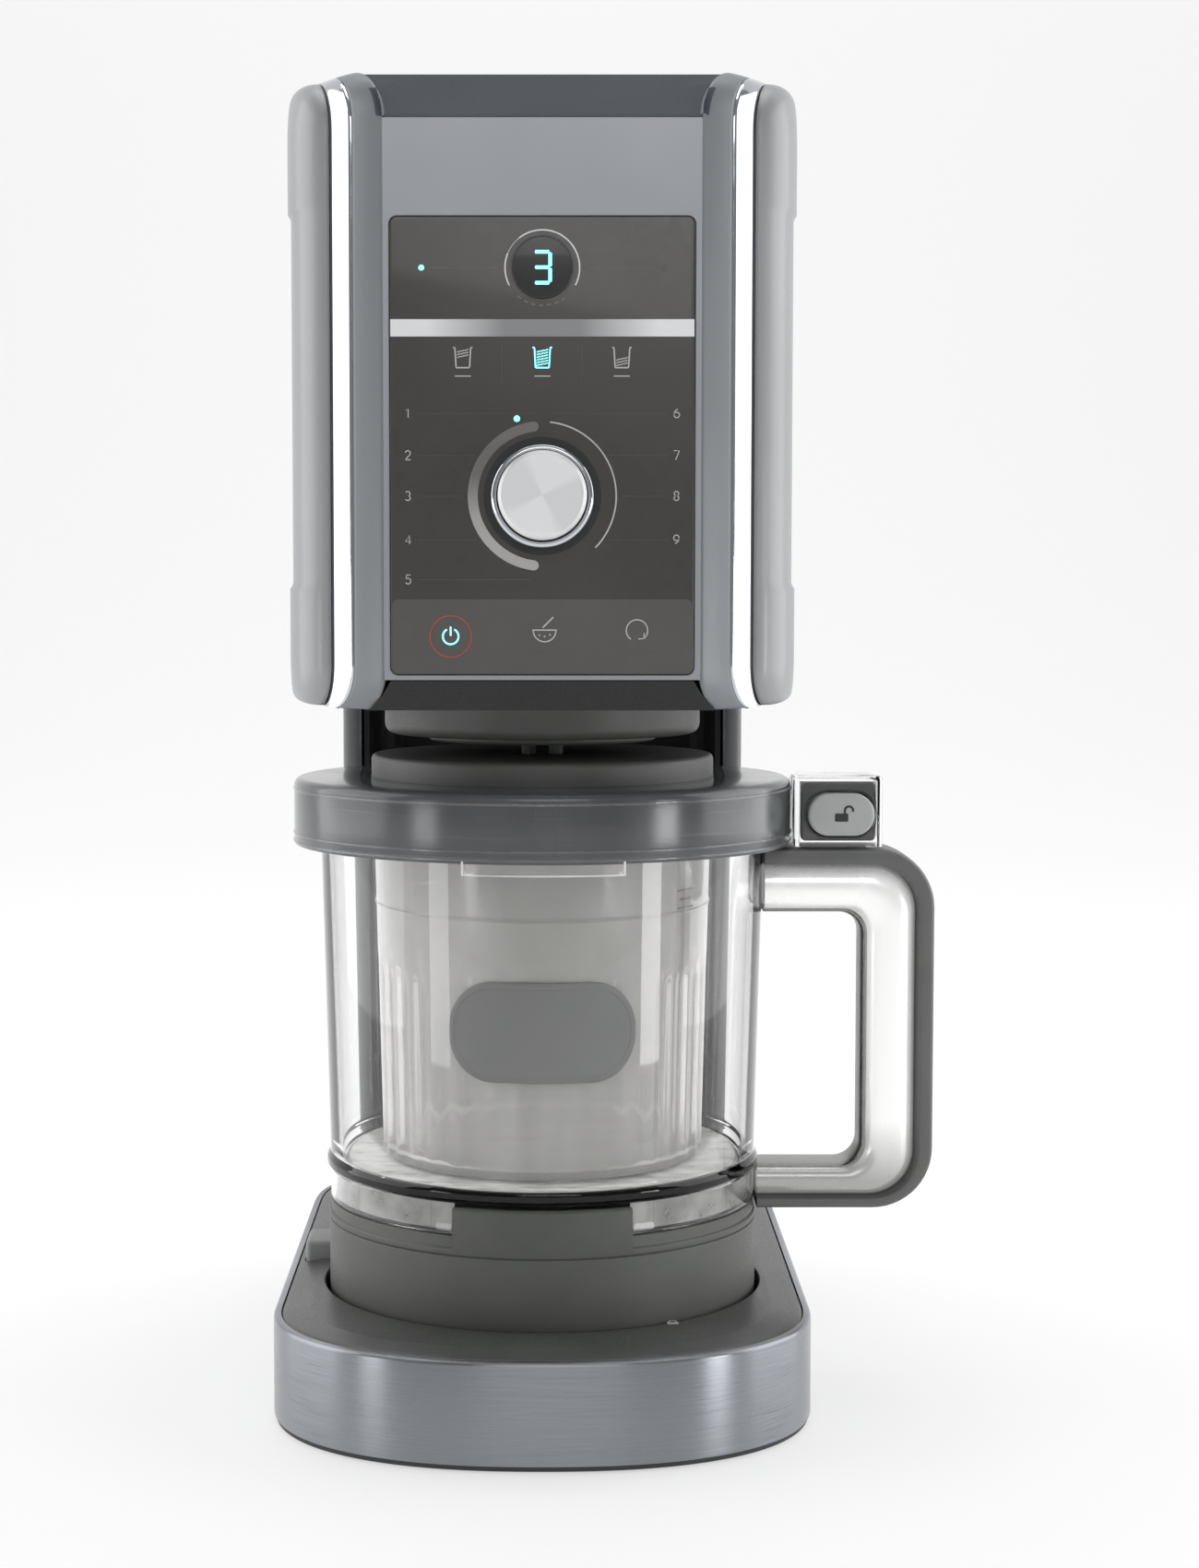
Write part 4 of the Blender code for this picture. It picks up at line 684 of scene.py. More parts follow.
# Painted shade: a darker grey for the band round the grip's opening, where the clear grip looks grey
# seen edge on.
GRIP_EDGE_PAINTED_SHADE = brushed_steel("grip_edge_painted_shade", "8B8B89", "969694", (1, 1, 20), roughness=0.3)
FLOOR_FROST = frosted_copolyester("frosted_bowl_floor")
SKIRT_FROST = frosted_copolyester("frosted_bowl_skirt", 0.78)
FIELD = panel_glaze("panel_back_printed_acrylic", "3A3836", "3E3C3A")
FOOTER = panel_glaze("panel_footer_acrylic", "52504E", "565452")
LENS_BLACK = panel_glaze("display_black_acrylic", "1E1F20", "242526")
INK = printed_ink("pale_printed_ink", "B9B8B5")
DIM_INK = printed_ink("dim_printed_ink", "6B6967")
FAINT_INK = printed_ink("faint_printed_ink", "575553")
SILVER_INK = brushed_steel("silver_hot_foil", "C9CACB", "DADBDC", (30, 1, 1), roughness=0.4)
BAND_FOIL = fading_foil("silver_band_foil")
BADGE_INK = moulded_plastic("dark_grey_badge_print", "595B59", "5F615F", roughness=0.5)
RED_INK = printed_ink("red_printed_ring", "A8483C")
CYAN = lit_segment("cyan_lit_segment", "7FE3EE", 1.6)
RUBBER = rubber("silicone_rubber")
SEAL_RUBBER = moulded_plastic("grey_seal_silicone", "6E7173", "777A7C", roughness=0.6)
BOARD = glass_fibre_board("glass_fibre_circuit_board")


def dress(finish, *names):
    """Gives CAD nodes that stay in view their finish."""
    for name in names:
        slots = NODES[name].data.materials
        slots.clear()
        slots.append(finish)


# ---------------------------------------------------------------- base


def base():
    """The steel band, the black tray with its floor, the deck, the release button and the feet."""
    low, top = BAND[0][2], BAND[1][2]
    band = rounded([(2.4, low, 0), (2.4, top, 0), (0, top, 1.3), (0, low, 0.5)])
    piece("base_band_skin", round_the_base(band), BAND_STEEL, "root", ["base_band"])
    tray_low, tray_top, wall = TRAY[0][2], TRAY[1][2], 2.8
    tray = [(20, tray_low, 0), (0.6, tray_low, 0.6), (0.6, low - 0.1, 0), (wall, low - 0.1, 0)]
    tray = rounded(tray + [(wall, tray_top, 0), (20, tray_top, 0)])
    floor = slab(lambda inset: base_edge(inset + 12), tray_low + 0.1, tray_top - 0.1)
    piece("base_tray_skin", joined(round_the_base(tray), floor), BLACK, "root", ["base_tray"])
    deck()
    centre, half = (RELEASE[0] + RELEASE[1]) / 2, (RELEASE[1] - RELEASE[0]) / 2
    cap = slab(rectangle(half[0], half[1], 2.0), RELEASE[0][2], RELEASE[1][2], 0, 1.4)
    cap = moved(cap, (centre[0], centre[1], 0))
    piece("release_button_cap", cap, GREY, "release_button", ["release_button"])
    points, faces = icon_padlock(0, 0, 4.4, 0, 0.35)
    lock = np.stack([points[:, 0] + 41, points[:, 2] - 62.5, PLATE[1][2] + 0.02 - points[:, 1]], -1)
    piece("deck_lock_mark", (lock, faces), INK, "root")
    feet = ("foot_front_left", "foot_front_right", "foot_rear_left", "foot_rear_right")
    dress(RUBBER, *feet, "cord_gland")
    dress(GREY, "cam_ring", "lift_sleeve")
    release_spring()


def release_spring():
    """The coil spring under the release button: a helix of wire of radius w. Round the wire at angle b
    a point stands at (R + w cos b, z + w sin b), and z climbs evenly with the turn."""
    low, high = node_box("release_spring")
    centre = (low + high) / 2
    turns, wire, travel = 6, 0.45, 4.1
    turn = np.linspace(0, 2 * PI * turns, turns * 24)
    b = np.linspace(0, 2 * PI, 10, endpoint=False)
    r = (high - low)[0] / 2 - wire + wire * np.cos(b)
    x = centre[0] + r * np.cos(turn)[:, None]
    y = centre[1] + r * np.sin(turn)[:, None]
    z = np.linspace(low[2] + wire, high[2] - wire, len(turn))[:, None] + wire * np.sin(b)
    shape = surface(np.stack([x, y, z], -1), wrap_columns=True, caps=True)
    made = piece("release_spring_coil", shape, PARTS_STEEL, "root", ["release_spring"])
    foot = tuple(map(float, to_world((centre[0], centre[1], low[2]))))
    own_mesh(made)


def deck():
    """The deck inside the band: it rises from the band to a low plateau, runs in to the platform's
    well along lines of equal angle, and turns down the well's wall. The release slot is cut after."""
    edge, top, rim = 2.6, PLATE[1][2], BAND[1][2]
    slope = [(edge, rim - 4), (edge, rim - 0.6), (edge + 0.5, rim - 0.05), (edge + 1.6, rim + 0.25)]
    slope += [(edge + 1.6 + t * 7.0, rim + 0.25 + t) for t in np.linspace(0, 1, 6)[1:]]
    slope += [(edge + 9.3, top - 0.04), (edge + 10.2, top)]
    levels = [(base_edge(inset), z) for inset, z in slope]
    plateau = levels[-1][0]
    angle = np.arctan2(plateau[:, 1], plateau[:, 0])
    circle = np.stack([np.cos(angle), np.sin(angle)], -1)
    well_r = PLATFORM_R + 1.5
    levels += [(plateau * (1 - t) + circle * (well_r + 0.5) * t, top) for t in (0.35, 0.7, 0.92)]
    wall = ((0.5, 0), (0.15, 0.15), (0, 0.5), (0, 5.4))
    levels += [(circle * (well_r + out), top - drop) for out, drop in wall]
    grid = np.stack([level(xy, z) for xy, z in levels], 1)
    shape = surface(grid, wrap_rows=True, wrap_columns=True)
    made = piece("deck_skin", shape, DECK, "root", ["base_top_plate"])
    half, centre = (RELEASE[1] - RELEASE[0]) / 2 + 0.45, (RELEASE[0] + RELEASE[1]) / 2
    slot = slab(rectangle(half[0], half[1], 2.2), PLATE[0][2] - 8, top + 8)
    cut_away(made, moved(slot, (centre[0], centre[1], 0)))


def cut_away(made, shape):
    """Takes a closed shape out of a piece and keeps the result as plain mesh."""
    mesh = bpy.data.meshes.new("cutter")
    mesh.from_pydata(to_world(shape[0]).tolist(), [], shape[1])
    work = bmesh.new()
    work.from_mesh(mesh)
    bmesh.ops.recalc_face_normals(work, faces=work.faces)
    work.to_mesh(mesh)
    work.free()
    cutter = bpy.data.objects.new("cutter", mesh)
    bpy.context.scene.collection.objects.link(cutter)
    boolean = made.modifiers.new("cut", "BOOLEAN")
    boolean.object, boolean.solver = cutter, "EXACT"
    graph = bpy.context.evaluated_depsgraph_get()
    result = bpy.data.meshes.new_from_object(made.evaluated_get(graph))
    made.modifiers.clear()
    made.data = result
    bpy.data.objects.remove(cutter)
    result.shade_smooth()
    result.set_sharp_from_angle(angle=np.radians(SHARP))


# ---------------------------------------------------------------- platform, bowl and pint


def platform():
    """The platform: a round body with a bead line, a floor on three legs and a skirt, and the tab that
    fills the notch in the bowl's foot."""
    low, seam, r = PLATFORM[0][2], PLATFORM[1][2] - 13.0, PLATFORM_R
    body = rounded(
        [(r, low, 0.4), (r, seam - 2.45, 0.3), (r - 0.55, seam - 2.2, 0.2), (r, seam - 1.95, 0.3)]
        + [(r, seam, 0.5), (r - 0.7, seam + 0.4, 0.2), (r - 0.7, seam + 4.0, 0.4)]
        + [(r - 2.5, seam + 4.0, 0.3), (r - 2.5, seam, 0), (0, seam, 0), (0, seam - 4, 0)]
        + [(r - 2.5, seam - 4, 0), (r - 2.5, low, 0.3)]
    )
    half = np.degrees(29.0 / r)
    tab = [(r + 0.02, seam - 1.4, 0.1), (r + 0.02, seam + 13.0, 1.2), (r - 2.4, seam + 13.0, 0.5)]
    tab = revolve(rounded(tab + [(r - 2.4, seam - 1.4, 0.1)]), 40, -90 - half, -90 + half)
    leg = np.array([(63.5, seam - 3.5), (63.5, 32.6), (60.5, 32.6), (60.5, seam - 3.5)])
    legs = [revolve(leg, 6, turn - 3, turn + 3) for turn in (0.0, 120.0, 240.0)]
    skirt = np.array([(53.6, seam - 3.9), (53.6, 29.8), (55.8, 29.8), (55.8, seam - 3.9)])
    whole = joined(revolve(body), tab, revolve(skirt, 96), *legs)
    piece("platform_skin", whole, DARK, "platform", ["platform_ring"])


def bowl_radius(z):
    """The bowl's outer radius: straight from its floor to its rim."""
    low = FOOT[1][2] - 1.0
    return BOWL_FOOT_R + (BOWL_RIM_R - BOWL_FOOT_R) * np.clip((z - low) / (BOWL[1][2] - low), 0, 1)


def bowl():
    """The clear bowl: its wall and floor, the frost on the floor, and the foot's skirt with a notch for
    the platform's tab, with ribs inside. Thread ramps for the lid stand out under the rim."""
    foot, rim, floor = FOOT[0][2], BOWL[1][2], FOOT[1][2] - 1.0
    wall, r, bead = 2.2, BOWL_FOOT_R, 1.3
    inside = r - wall
    upper = rounded(
        [(bowl_radius(rim), rim, 0.8), (bowl_radius(floor + 3), floor + 3, 0.5)]
        + [(r + bead, floor + 1.2, 0.6), (r + bead, floor - 1.2, 0.6), (r, floor - 2.6, 0.5)]
        + [(inside, floor - 2.6, 0.3), (0, floor - 2.5, 0), (0, floor, 0)]
        + [(inside - 0.5, floor, 2.5), (bowl_radius(rim) - wall, rim, 0.8)]
    )
    piece("bowl_wall", revolve(upper), CLEAR, "platform", ["outer_bowl"])
    low, high = floor + 0.03, floor + 0.16
    frost = np.array([(0, low), (inside - 3.4, low), (inside - 3.6, high), (0, high)])
    piece("bowl_floor_frost", revolve(frost), FLOOR_FROST, "platform")
    gap = np.degrees(29.4 / r)
    ends = (-90 + gap, 270 - gap)
    skirt = [(r, floor - 2.7, 0), (r, foot, 0.6), (inside, foot, 0.6), (inside, floor - 2.7, 0)]
    piece("bowl_skirt", revolve(rounded(skirt), 130, *ends), CLEAR, "platform", ["bowl_foot"])
    low, high = foot + 1.0, floor - 3.0
    haze = [(inside - 0.3, low), (inside - 0.3, high), (inside - 0.5, high), (inside - 0.5, low)]
    piece("bowl_skirt_frost", revolve(np.array(haze), 130, *ends), SKIRT_FROST, "platform")
    rib = [(inside - 0.1, low), (inside - 0.1, high), (inside - 9.0, high), (inside - 6.0, foot + 4.0)]
    turns = [turn for turn in np.arange(0, 360, 30.0) if abs((turn - 90) % 360 - 180) > gap]
    ribs = [revolve(np.array(rib), 3, turn - 0.7, turn + 0.7) for turn in turns]
    piece("bowl_foot_ribs", joined(*ribs), CLEAR, "platform")
    near, far = BOWL_RIM_R + 0.1, BOWL_RIM_R + 2.6
    ramp = rounded([(near, rim - 9, 0), (far, rim - 9, 0.5), (far, rim - 6.5, 0.5), (near, rim - 6, 0)])
    ramps = [revolve(ramp, 24, turn - 16, turn + 16) for turn in np.arange(15, 375, 60.0)]
    piece("bowl_thread_ramps", joined(*ramps), CLEAR, "platform")


def pint():
    """The pint: a smooth upper wall above the fill line and shallow upright ribs below 140 mm. The
    outer radius is r(z) - d sin^2(n a / 2) s(z), where s fades the ribs in."""
    foot, top, rim_r, wall, flare = PINT[0][2], PINT[1][2], float(PINT[1][0]), 1.6, 2.4
    count, ribs, depth = 288, 36, 1.0

    def outer(z):
        return rim_r - 2.0 - flare * (top - z) / (top - foot)

    lip, line = [top, top - 0.4, top - 1.7, top - 2.0], [161.8, 161.5, 161.1, 160.8]
    low = [110, 90, foot + 5, foot + 2, foot + 0.6, foot]
    z_out = np.concatenate([lip, line, np.linspace(146, 138, 7), low])
    r_out = outer(z_out)
    r_out[:3] = [rim_r - 0.5, rim_r, rim_r]
    r_out[5:7] += 0.35
    r_out[-2:] -= [0.4, 1.4]
    floor = [foot + 2.0, foot + 2.4, foot + 4.5, foot + 9]
    z_in = np.concatenate([floor, np.linspace(100, top - 1, 8), [top]])
    r_in = outer(z_in) - wall
    r_in[:3] -= [4.5, 1.8, 0.3]
    angle = np.linspace(0, 2 * PI, count, endpoint=False)
    fade = np.clip((144 - z_out) / 6, 0, 1) * np.clip((z_out - foot - 1) / 4, 0, 1)
    ribbed = r_out[:, None] - fade[:, None] * depth * np.sin(ribs * angle / 2) ** 2
    smooth = np.repeat(r_in[:, None], count, 1)
    pole = np.zeros((1, count))
    r = np.concatenate([pole, ribbed[::-1], smooth[::-1], pole])
    z = np.concatenate([[foot], z_out[::-1], z_in[::-1], [foot + 2.0]])[:, None]
    grid = np.stack([r * np.cos(angle), r * np.sin(angle), np.broadcast_to(z, r.shape)], -1)
    piece("pint_wall", surface(grid, wrap_columns=True), PINT_CLEAR, "platform", ["pint"])
    badge()
    ticks = []
    for z, sweep in ((168.0, 5.0), (165.2, 3.2), (162.4, 5.0)):
        near, far = outer(z) + 0.05, outer(z) + 0.16
        tick = np.array([(near, z), (near, z + 0.5), (far, z + 0.5), (far, z)])
        ticks.append(revolve(tick, 12, -34 - sweep, -34 + sweep))
    piece("pint_level_marks", joined(*ticks), DIM_INK, "platform")


def badge():
    """The oval badge bent round the pint: a point at width x sits at angle x / R. Rows of the oval
    run from the middle of its back out to its rim and in again over its stepped face."""
    radius, thick, z = float(PINT[1][0]) - 1.6, 1.1, 126.0
    oval = rectangle(31.35, 15.9, 15.4, 16)
    steps = [
        (0.0, thick), (0.0, 0.45), (0.12, 0.2), (0.5, 0.03), (1.2, 0.0), (1.9, 0.0), (2.1, 0.16),
        (2.5, 0.2)
    ]
    face, inner = 0.2, even(oval(2.5), 160)
    rows = [(inner * share, thick) for share in (0.0, 0.5, 1.0)]
    rows += [(even(oval(inset), 160), drop) for inset, drop in steps]
    rows += [(inner * share, face) for share in (0.75, 0.5, 0.25, 0.0)]
    grid = []
    for xy, drop in rows:
        turn, r = xy[:, 0] / radius, radius - drop
        grid.append(np.stack([r * np.sin(turn), -r * np.cos(turn), z + xy[:, 1]], -1))
    piece("pint_badge_skin", surface(np.stack(grid), wrap_columns=True), BADGE_INK, "platform")


def handle():
    """The grip, its inner edge and its outer strip. Each is a rounded section between an inner and an
    outer line that bend together from the top arm, down the side and back along the lower arm."""
    reach, top, low = STRIP[1][0], STRIP[1][2], STRIP[0][2]
    start = BOWL_FOOT_R + 0.6
    depth = (GRIP[1][1] - GRIP[0][1]) / 2
    strip_in = GRIP[1][0] + 0.1
    grip_top, grip_low = GRIP[1][2] + 0.1, GRIP[0][2] - 0.1
    hole_x, hole_top, hole_low = strip_in - 18.7, grip_top - 16.0, grip_low + 10.9

    def line(x, z_top, z_low, radius, count=14):
        """The top arm, a quarter turn, the side, a quarter turn and the lower arm, with as many
        points in each for every line."""
        arm = np.linspace(0, 1, 10)[:-1]
        turn = np.radians(np.linspace(90, 0, count))
        inner_x, top_start = x - radius, start + 2.0
        upper = np.stack([top_start + (inner_x - top_start) * arm, np.full(9, z_top)], -1)
        bend = np.stack([inner_x + radius * np.cos(turn), z_top - radius + radius * np.sin(turn)], -1)
        side = np.stack([np.full(10, x), np.linspace(z_top - radius, z_low + radius, 12)[1:-1]], -1)
        lower_bend = bend * (1, -1) + (0, z_top + z_low)
        lower = np.stack([start + (inner_x - start) * arm[::-1], np.full(9, z_low)], -1)
        return np.concatenate([upper, bend, side, lower_bend[::-1], lower])

    def between(inner, outer, half, power):
        """Rounded rectangles from the inner to the outer line, each a superellipse of this power:
        the higher it is, the flatter the faces."""
        a = np.linspace(0, 2 * PI, 48, endpoint=False)
        u = np.sign(np.cos(a)) * np.abs(np.cos(a)) ** (2 / power)
        v = np.sign(np.sin(a)) * np.abs(np.sin(a)) ** (2 / power)
        middle, reach_half = (inner + outer) / 2, (outer - inner) / 2
        xz = middle[:, None] + reach_half[:, None] * u[None, :, None]
        y = np.broadcast_to(half * v[None], xz.shape[:2])
        return surface(np.stack([xz[..., 0], y, xz[..., 1]], -1), wrap_columns=True, caps=True)

    def grown(out, radius):
        """The hole's line, moved outwards."""
        return line(hole_x + out, hole_top + out, hole_low - out, radius)

    grip = between(
        grown(0, 7.5), line(strip_in - 0.3, grip_top - 0.3, grip_low + 0.3, 15.0), depth, 3.0
    )
    piece("handle_grip_skin", grip, FROST, "platform", ["bowl_handle"])
    # A darker band round the hole: painted shade along the opening's inner bevel.
    edge = between(grown(-0.1, 7.4), grown(2.6, 9.6), depth * 0.8, 3.0)
    piece("handle_grip_edge", edge, GRIP_EDGE_PAINTED_SHADE, "platform")
    strip_line = line(strip_in - 0.2, grip_top - 0.2, grip_low + 0.2, 15.2)
    strip = between(strip_line, line(reach, top, low, 20.0), depth, 6.0)
    piece("handle_strip_skin", strip, STRIP_GREY_PAINTED_HIGHLIGHT, "platform", ["handle_strip"])


# ---------------------------------------------------------------- lid


def lid():
    """The lid: its smoke-grey ring with beads and a front lip, the dark hub, the seal and the latch."""
    low, top, hub_r, wall = RING[0][2], RING[1][2], float(HUB[1][0]), 2.4
    ring = rounded(
        [
            (LID_R, low, 0.7), (LID_R, top - 0.2, 2.6), (hub_r + 0.3, top, 0.3),
            (hub_r + 0.3, top - wall, 0)
        ]
        + [(LID_R - wall, top - wall, 1.5), (LID_R - wall, low, 0.7)]
    )
    piece("lid_ring_skin", revolve(ring, 180), SMOKE, "lid", ["lid_ring"])
    hub_top, hub_low, bore = HUB[1][2], HUB[0][2], 12.0
    hub = rounded(
        [
            (hub_r, hub_low, 0.4), (hub_r, hub_top - 0.1, 1.7), (bore, hub_top, 0.6),
            (bore, hub_top - 2.5, 0)
        ]
        + [(hub_r - 2.5, hub_top - 2.5, 2.0), (hub_r - 2.5, hub_low, 0.4)]
    )
    piece("lid_hub_skin", revolve(hub, 180), DARK, "lid", ["lid_hub"])

    def bar(inner, outer, low_z, high_z, steps, first, last):
        """A square bar bent round the lid between two angles."""
        section = [(outer, low_z), (outer, high_z), (inner, high_z), (inner, low_z)]
        return revolve(np.array(section), steps, first, last)

    seams = [
        bar(LID_R - 1.2, LID_R + 0.02, low + 1.0, top - 3, 3, a - 0.12, a + 0.12)
        for a in (-87.0, -91.5)
    ]
    piece("lid_ring_seams", joined(*seams), SMOKE, "lid")
    outer, inner = LID_R - 0.6, LID_R - 3.2
    lip = [
        (outer, low - 0.1, 0), (outer, low - 3.6, 0.8), (inner, low - 3.6, 0.8), (inner, low - 0.1, 0)
    ]
    piece("lid_front_lip", revolve(rounded(lip), 40, -107.5, -72.0), CLEAR, "lid")
    near, far = LID_R - 0.2, LID_R + 0.4
    beads = [
        revolve(
            rounded([(near, z, 0), (far, z + 0.2, 0.2), (far, z + 0.8, 0.2), (near, z + 1.0, 0)], 3),
            180
        )
        for z in (low + 0.7, low + 3.4, top - 4.2)
    ]
    piece("lid_ring_beads", joined(*beads), CLEAR, "lid")
    # Painted highlight: thin pale frosted bars trace the lip's bottom edge and its ends, where a clear
    # lip shows bright edges.
    near, far = LID_R + 0.1, LID_R + 0.4
    edges = [bar(near, far, low - 3.6, low - 3.1, 40, -107.5, -72.0)]
    edges += [bar(near, far, low - 3.6, low + 0.9, 3, a - 0.2, a + 0.2) for a in (-107.3, -72.2)]
    piece("lid_lip_painted_highlights", joined(*edges), FLOOR_FROST, "lid")
    (seal_low, seal_high) = (corner[2] for corner in node_box("lid_seal"))
    seal = rounded(
        [(79.0, seal_low, 0.8), (79.0, seal_high, 0.8), (70.4, seal_high, 0.8), (70.4, seal_low, 0.8)]
    )
    piece("lid_seal_skin", revolve(seal, 180), SEAL_RUBBER, "lid", ["lid_seal"])
    gasket = rounded(
        [(78.8, low + 1.8, 0.6), (78.8, low + 7.0, 0.6), (76.9, low + 7.0, 0.6), (76.9, low + 1.8, 0.6)]
    )
    piece("lid_rim_gasket", revolve(gasket, 180), RUBBER, "lid")
    dress(BLACK, "lid_bush")
    dress(GREY, "paddle")
    latch()


def latch():
    """The clear latch box, its dark works and the oval button. The box is one row of outlines: up
    its outside, in to a small ring on its top, down to the same ring under it, and out to its inside
    wall."""
    centre, half = (LATCH[0] + LATCH[1]) / 2, (LATCH[1] - LATCH[0]) / 2
    low, high, wall = LATCH[0][2], LATCH[1][2], 1.8
    outer = rectangle(half[0], half[1], 2.4)
    count = len(outer(0))
    rows = [(0.0, low, 1), (0.0, high - 1.2, 1), (0.35, high - 0.35, 1), (1.2, high, 1)]
    rows += [(9.0, high, 0.5), (9.0, high - wall, 0.5), (wall, high - wall, 1), (wall, low, 1)]
    grid = np.stack([level(outer(inset) * share, z) for inset, z, share in rows])
    points, faces = surface(grid, wrap_rows=True, wrap_columns=True)
    # The two small rings get flat faces in place of the tube between them.
    faces = [face for face in faces if {index // count for index in face} != {4, 5}]
    faces += [list(range(row * count, (row + 1) * count)) for row in (4, 5)]
    box = moved((points, faces), (centre[0], centre[1], 0))
    made = piece("latch_box_skin", box, CLEAR, "lid", ["latch_box"])
    bx, bz = (BUTTON[0] + BUTTON[1])[0] / 2, (BUTTON[0] + BUTTON[1])[2] / 2
    bw, bh = (BUTTON[1] - BUTTON[0])[0] / 2, (BUTTON[1] - BUTTON[0])[2] / 2
    window = slab(rectangle(bw + 0.5, bh + 0.5, bh + 0.3, 12), -8, 12)
    cut_away(made, forward(window, bx, LATCH[0][1], bz))
    button = slab(rectangle(bw, bh, bh - 0.2, 14), 0, BUTTON[1][1] - BUTTON[0][1], 0, 1.0)
    button = forward(button, bx, BUTTON[1][1], bz)
    piece("lid_button_cap", button, KEY_GREY_PAINTED_LIGHT, "lid_button", ["lid_button"])
    mark = icon_padlock(bx, bz - 2.2, 5.2, BUTTON[0][1] + 0.02, 0.5, open_shackle=True)
    piece("lid_button_mark", mark, BLACK, "lid_button")
    works_front, works_back = (corner[1] for corner in node_box("latch_housing"))
    front = LATCH[0][1] + wall + 0.5
    outside = rectangle(half[0] - wall - 0.5, half[2] - wall - 0.2, 1.6, 12)
    pocket = rectangle(bw + 0.55, bh + 0.55, bh + 0.2, 12)
    middle, button_middle = (centre[0], centre[2] - 0.2), (bx, bz)
    loops = [(outside(0) + middle, works_back), (outside(0) + middle, front + 0.5)]
    loops += [(outside(0.5) + middle, front), (pocket(-0.6) + button_middle, front)]
    loops += [(pocket(0) + button_middle, front + 0.6), (pocket(0) + button_middle, works_front)]
    works = surface(np.stack([standing(xz, y) for xz, y in loops]), wrap_columns=True, caps=True)
    piece("latch_works_skin", works, BLACK, "lid", ["latch_housing"])


def icon_padlock(x, z, height, face_y, pen, open_shackle=False):
    """A padlock: a filled body under a shackle. The open one has its shackle swung to the side."""
    w, body = height * 0.42, height * 0.52
    plate = slab(rectangle(w, body / 2, height * 0.08), 0, 0.1)
    middle, end = (x + w * 1.1, 1.2) if open_shackle else (x, 0.98)
    r = w * 0.62
    bow = arc_line(middle, z + body + height * 0.18, r, 180, 0, 16)
    shackle = np.concatenate([[[middle - r, z + body * 0.98]], bow, [[middle + r, z + body * end]]])
    return joined(forward(plate, x, face_y, z + body / 2), ribbon(shackle, pen * 1.5, face_y, 0.1))


# ---------------------------------------------------------------- column


def column():
    """The column in plan is a U whose back is a quarter superellipse each side, with round lips."""
    half, front, back = COLUMN[1][0], COLUMN[0][1], COLUMN[1][1]
    turn = np.linspace(0, PI / 2, 40)

    def u_line(inset):
        x = (half - inset) * np.cos(turn) ** (2 / REAR_POWER)
        y = REAR_Y + (back - REAR_Y - inset) * np.sin(turn) ** (2 / REAR_POWER)
        side = [[half - inset, front + 1.2], [half - inset, front + 20]]
        right = np.concatenate([side, np.stack([x, y], -1)])
        return np.concatenate([right[:-1], [[0.0, back - inset]], right[-2::-1] * (-1, 1)])

    wall = 6.6
    lip = np.radians(np.linspace(180, 0, 9))
    lip_x = half - wall / 2 + np.cos(lip) * -wall / 2
    lip_xy = np.stack([lip_x, front + 1.2 - 1.2 * np.sin(lip)], -1)
    left_lip = lip_xy[::-1] * (-1, 1)
    outline = np.concatenate([u_line(0.0), left_lip, u_line(wall)[::-1], lip_xy])
    grid = np.stack([level(outline, z) for z in (COLUMN[0][2] - 0.3, COLUMN[1][2] + 0.3)])
    skin = surface(grid, wrap_columns=True, caps=True)
    piece("column_skin", skin, COLUMN_SHADED_GREY, "root", ["column_shell"])
    dress(RECESS, "column_liner")


# ---------------------------------------------------------------- head


def edge_curve(x, y, x_top, z_top, y_top, x_low, z_low, y_low, back):
    """One long edge of the head, from under its back, round to the front, up it, and back along its
    top. At each end it turns through a quarter ellipse, and x eases from the front value to the
    end's value as 1 - cos of the turn. x_top, z_top and y_top are where the top turn ends."""
    turn = np.radians(np.linspace(0, 90, 13))
    ease = 1 - np.cos(turn)
    rise = 1 - np.sin(turn)
    top_r, low_r = 17.0, 13.0
    top = np.stack([x + (x_top - x) * ease, y + (y_top - y) * ease, z_top - top_r * rise], -1)
    low = np.stack([x + (x_low - x) * ease, y + (y_low - y) * ease, z_low + low_r * rise], -1)
    # The points lie closer where the side's grip starts and ends.
    front_z = [
        np.linspace(z_low + low_r, 264.5, 4)[1:], [265.5, 266.5, 267.5], np.linspace(290, 360, 4)
    ]
    front_z = np.concatenate([*front_z, [379, 380, 381, 382, z_top - top_r - 6]])
    front = np.stack([np.full(len(front_z), x), np.full(len(front_z), y), front_z], -1)
    run = np.linspace(0, 1, 9)[1:]
    top_back = np.stack([np.full(8, x_top), y_top + (back - y_top) * run, np.full(8, z_top)], -1)
    low_back = np.stack([np.full(8, x_low), y_low + (back - y_low) * run, np.full(8, z_low)], -1)
    return np.concatenate([low_back[::-1], low[::-1], front, top, top_back])


def span(first, second, bulge, steps):
    """The surface between two edges. Across it the sideways step follows sin a and the backward step
    1 - cos a, for bulge 1, or both follow a straight line, for bulge 0."""
    a = np.linspace(0, PI / 2, steps)[:, None, None]
    straight = a / (PI / 2)
    side = straight * (1 - bulge) + np.sin(a) * bulge
    away = straight * (1 - bulge) + (1 - np.cos(a)) * bulge
    share = np.concatenate([side, away, away], -1)
    return first[None] + (second - first)[None] * share


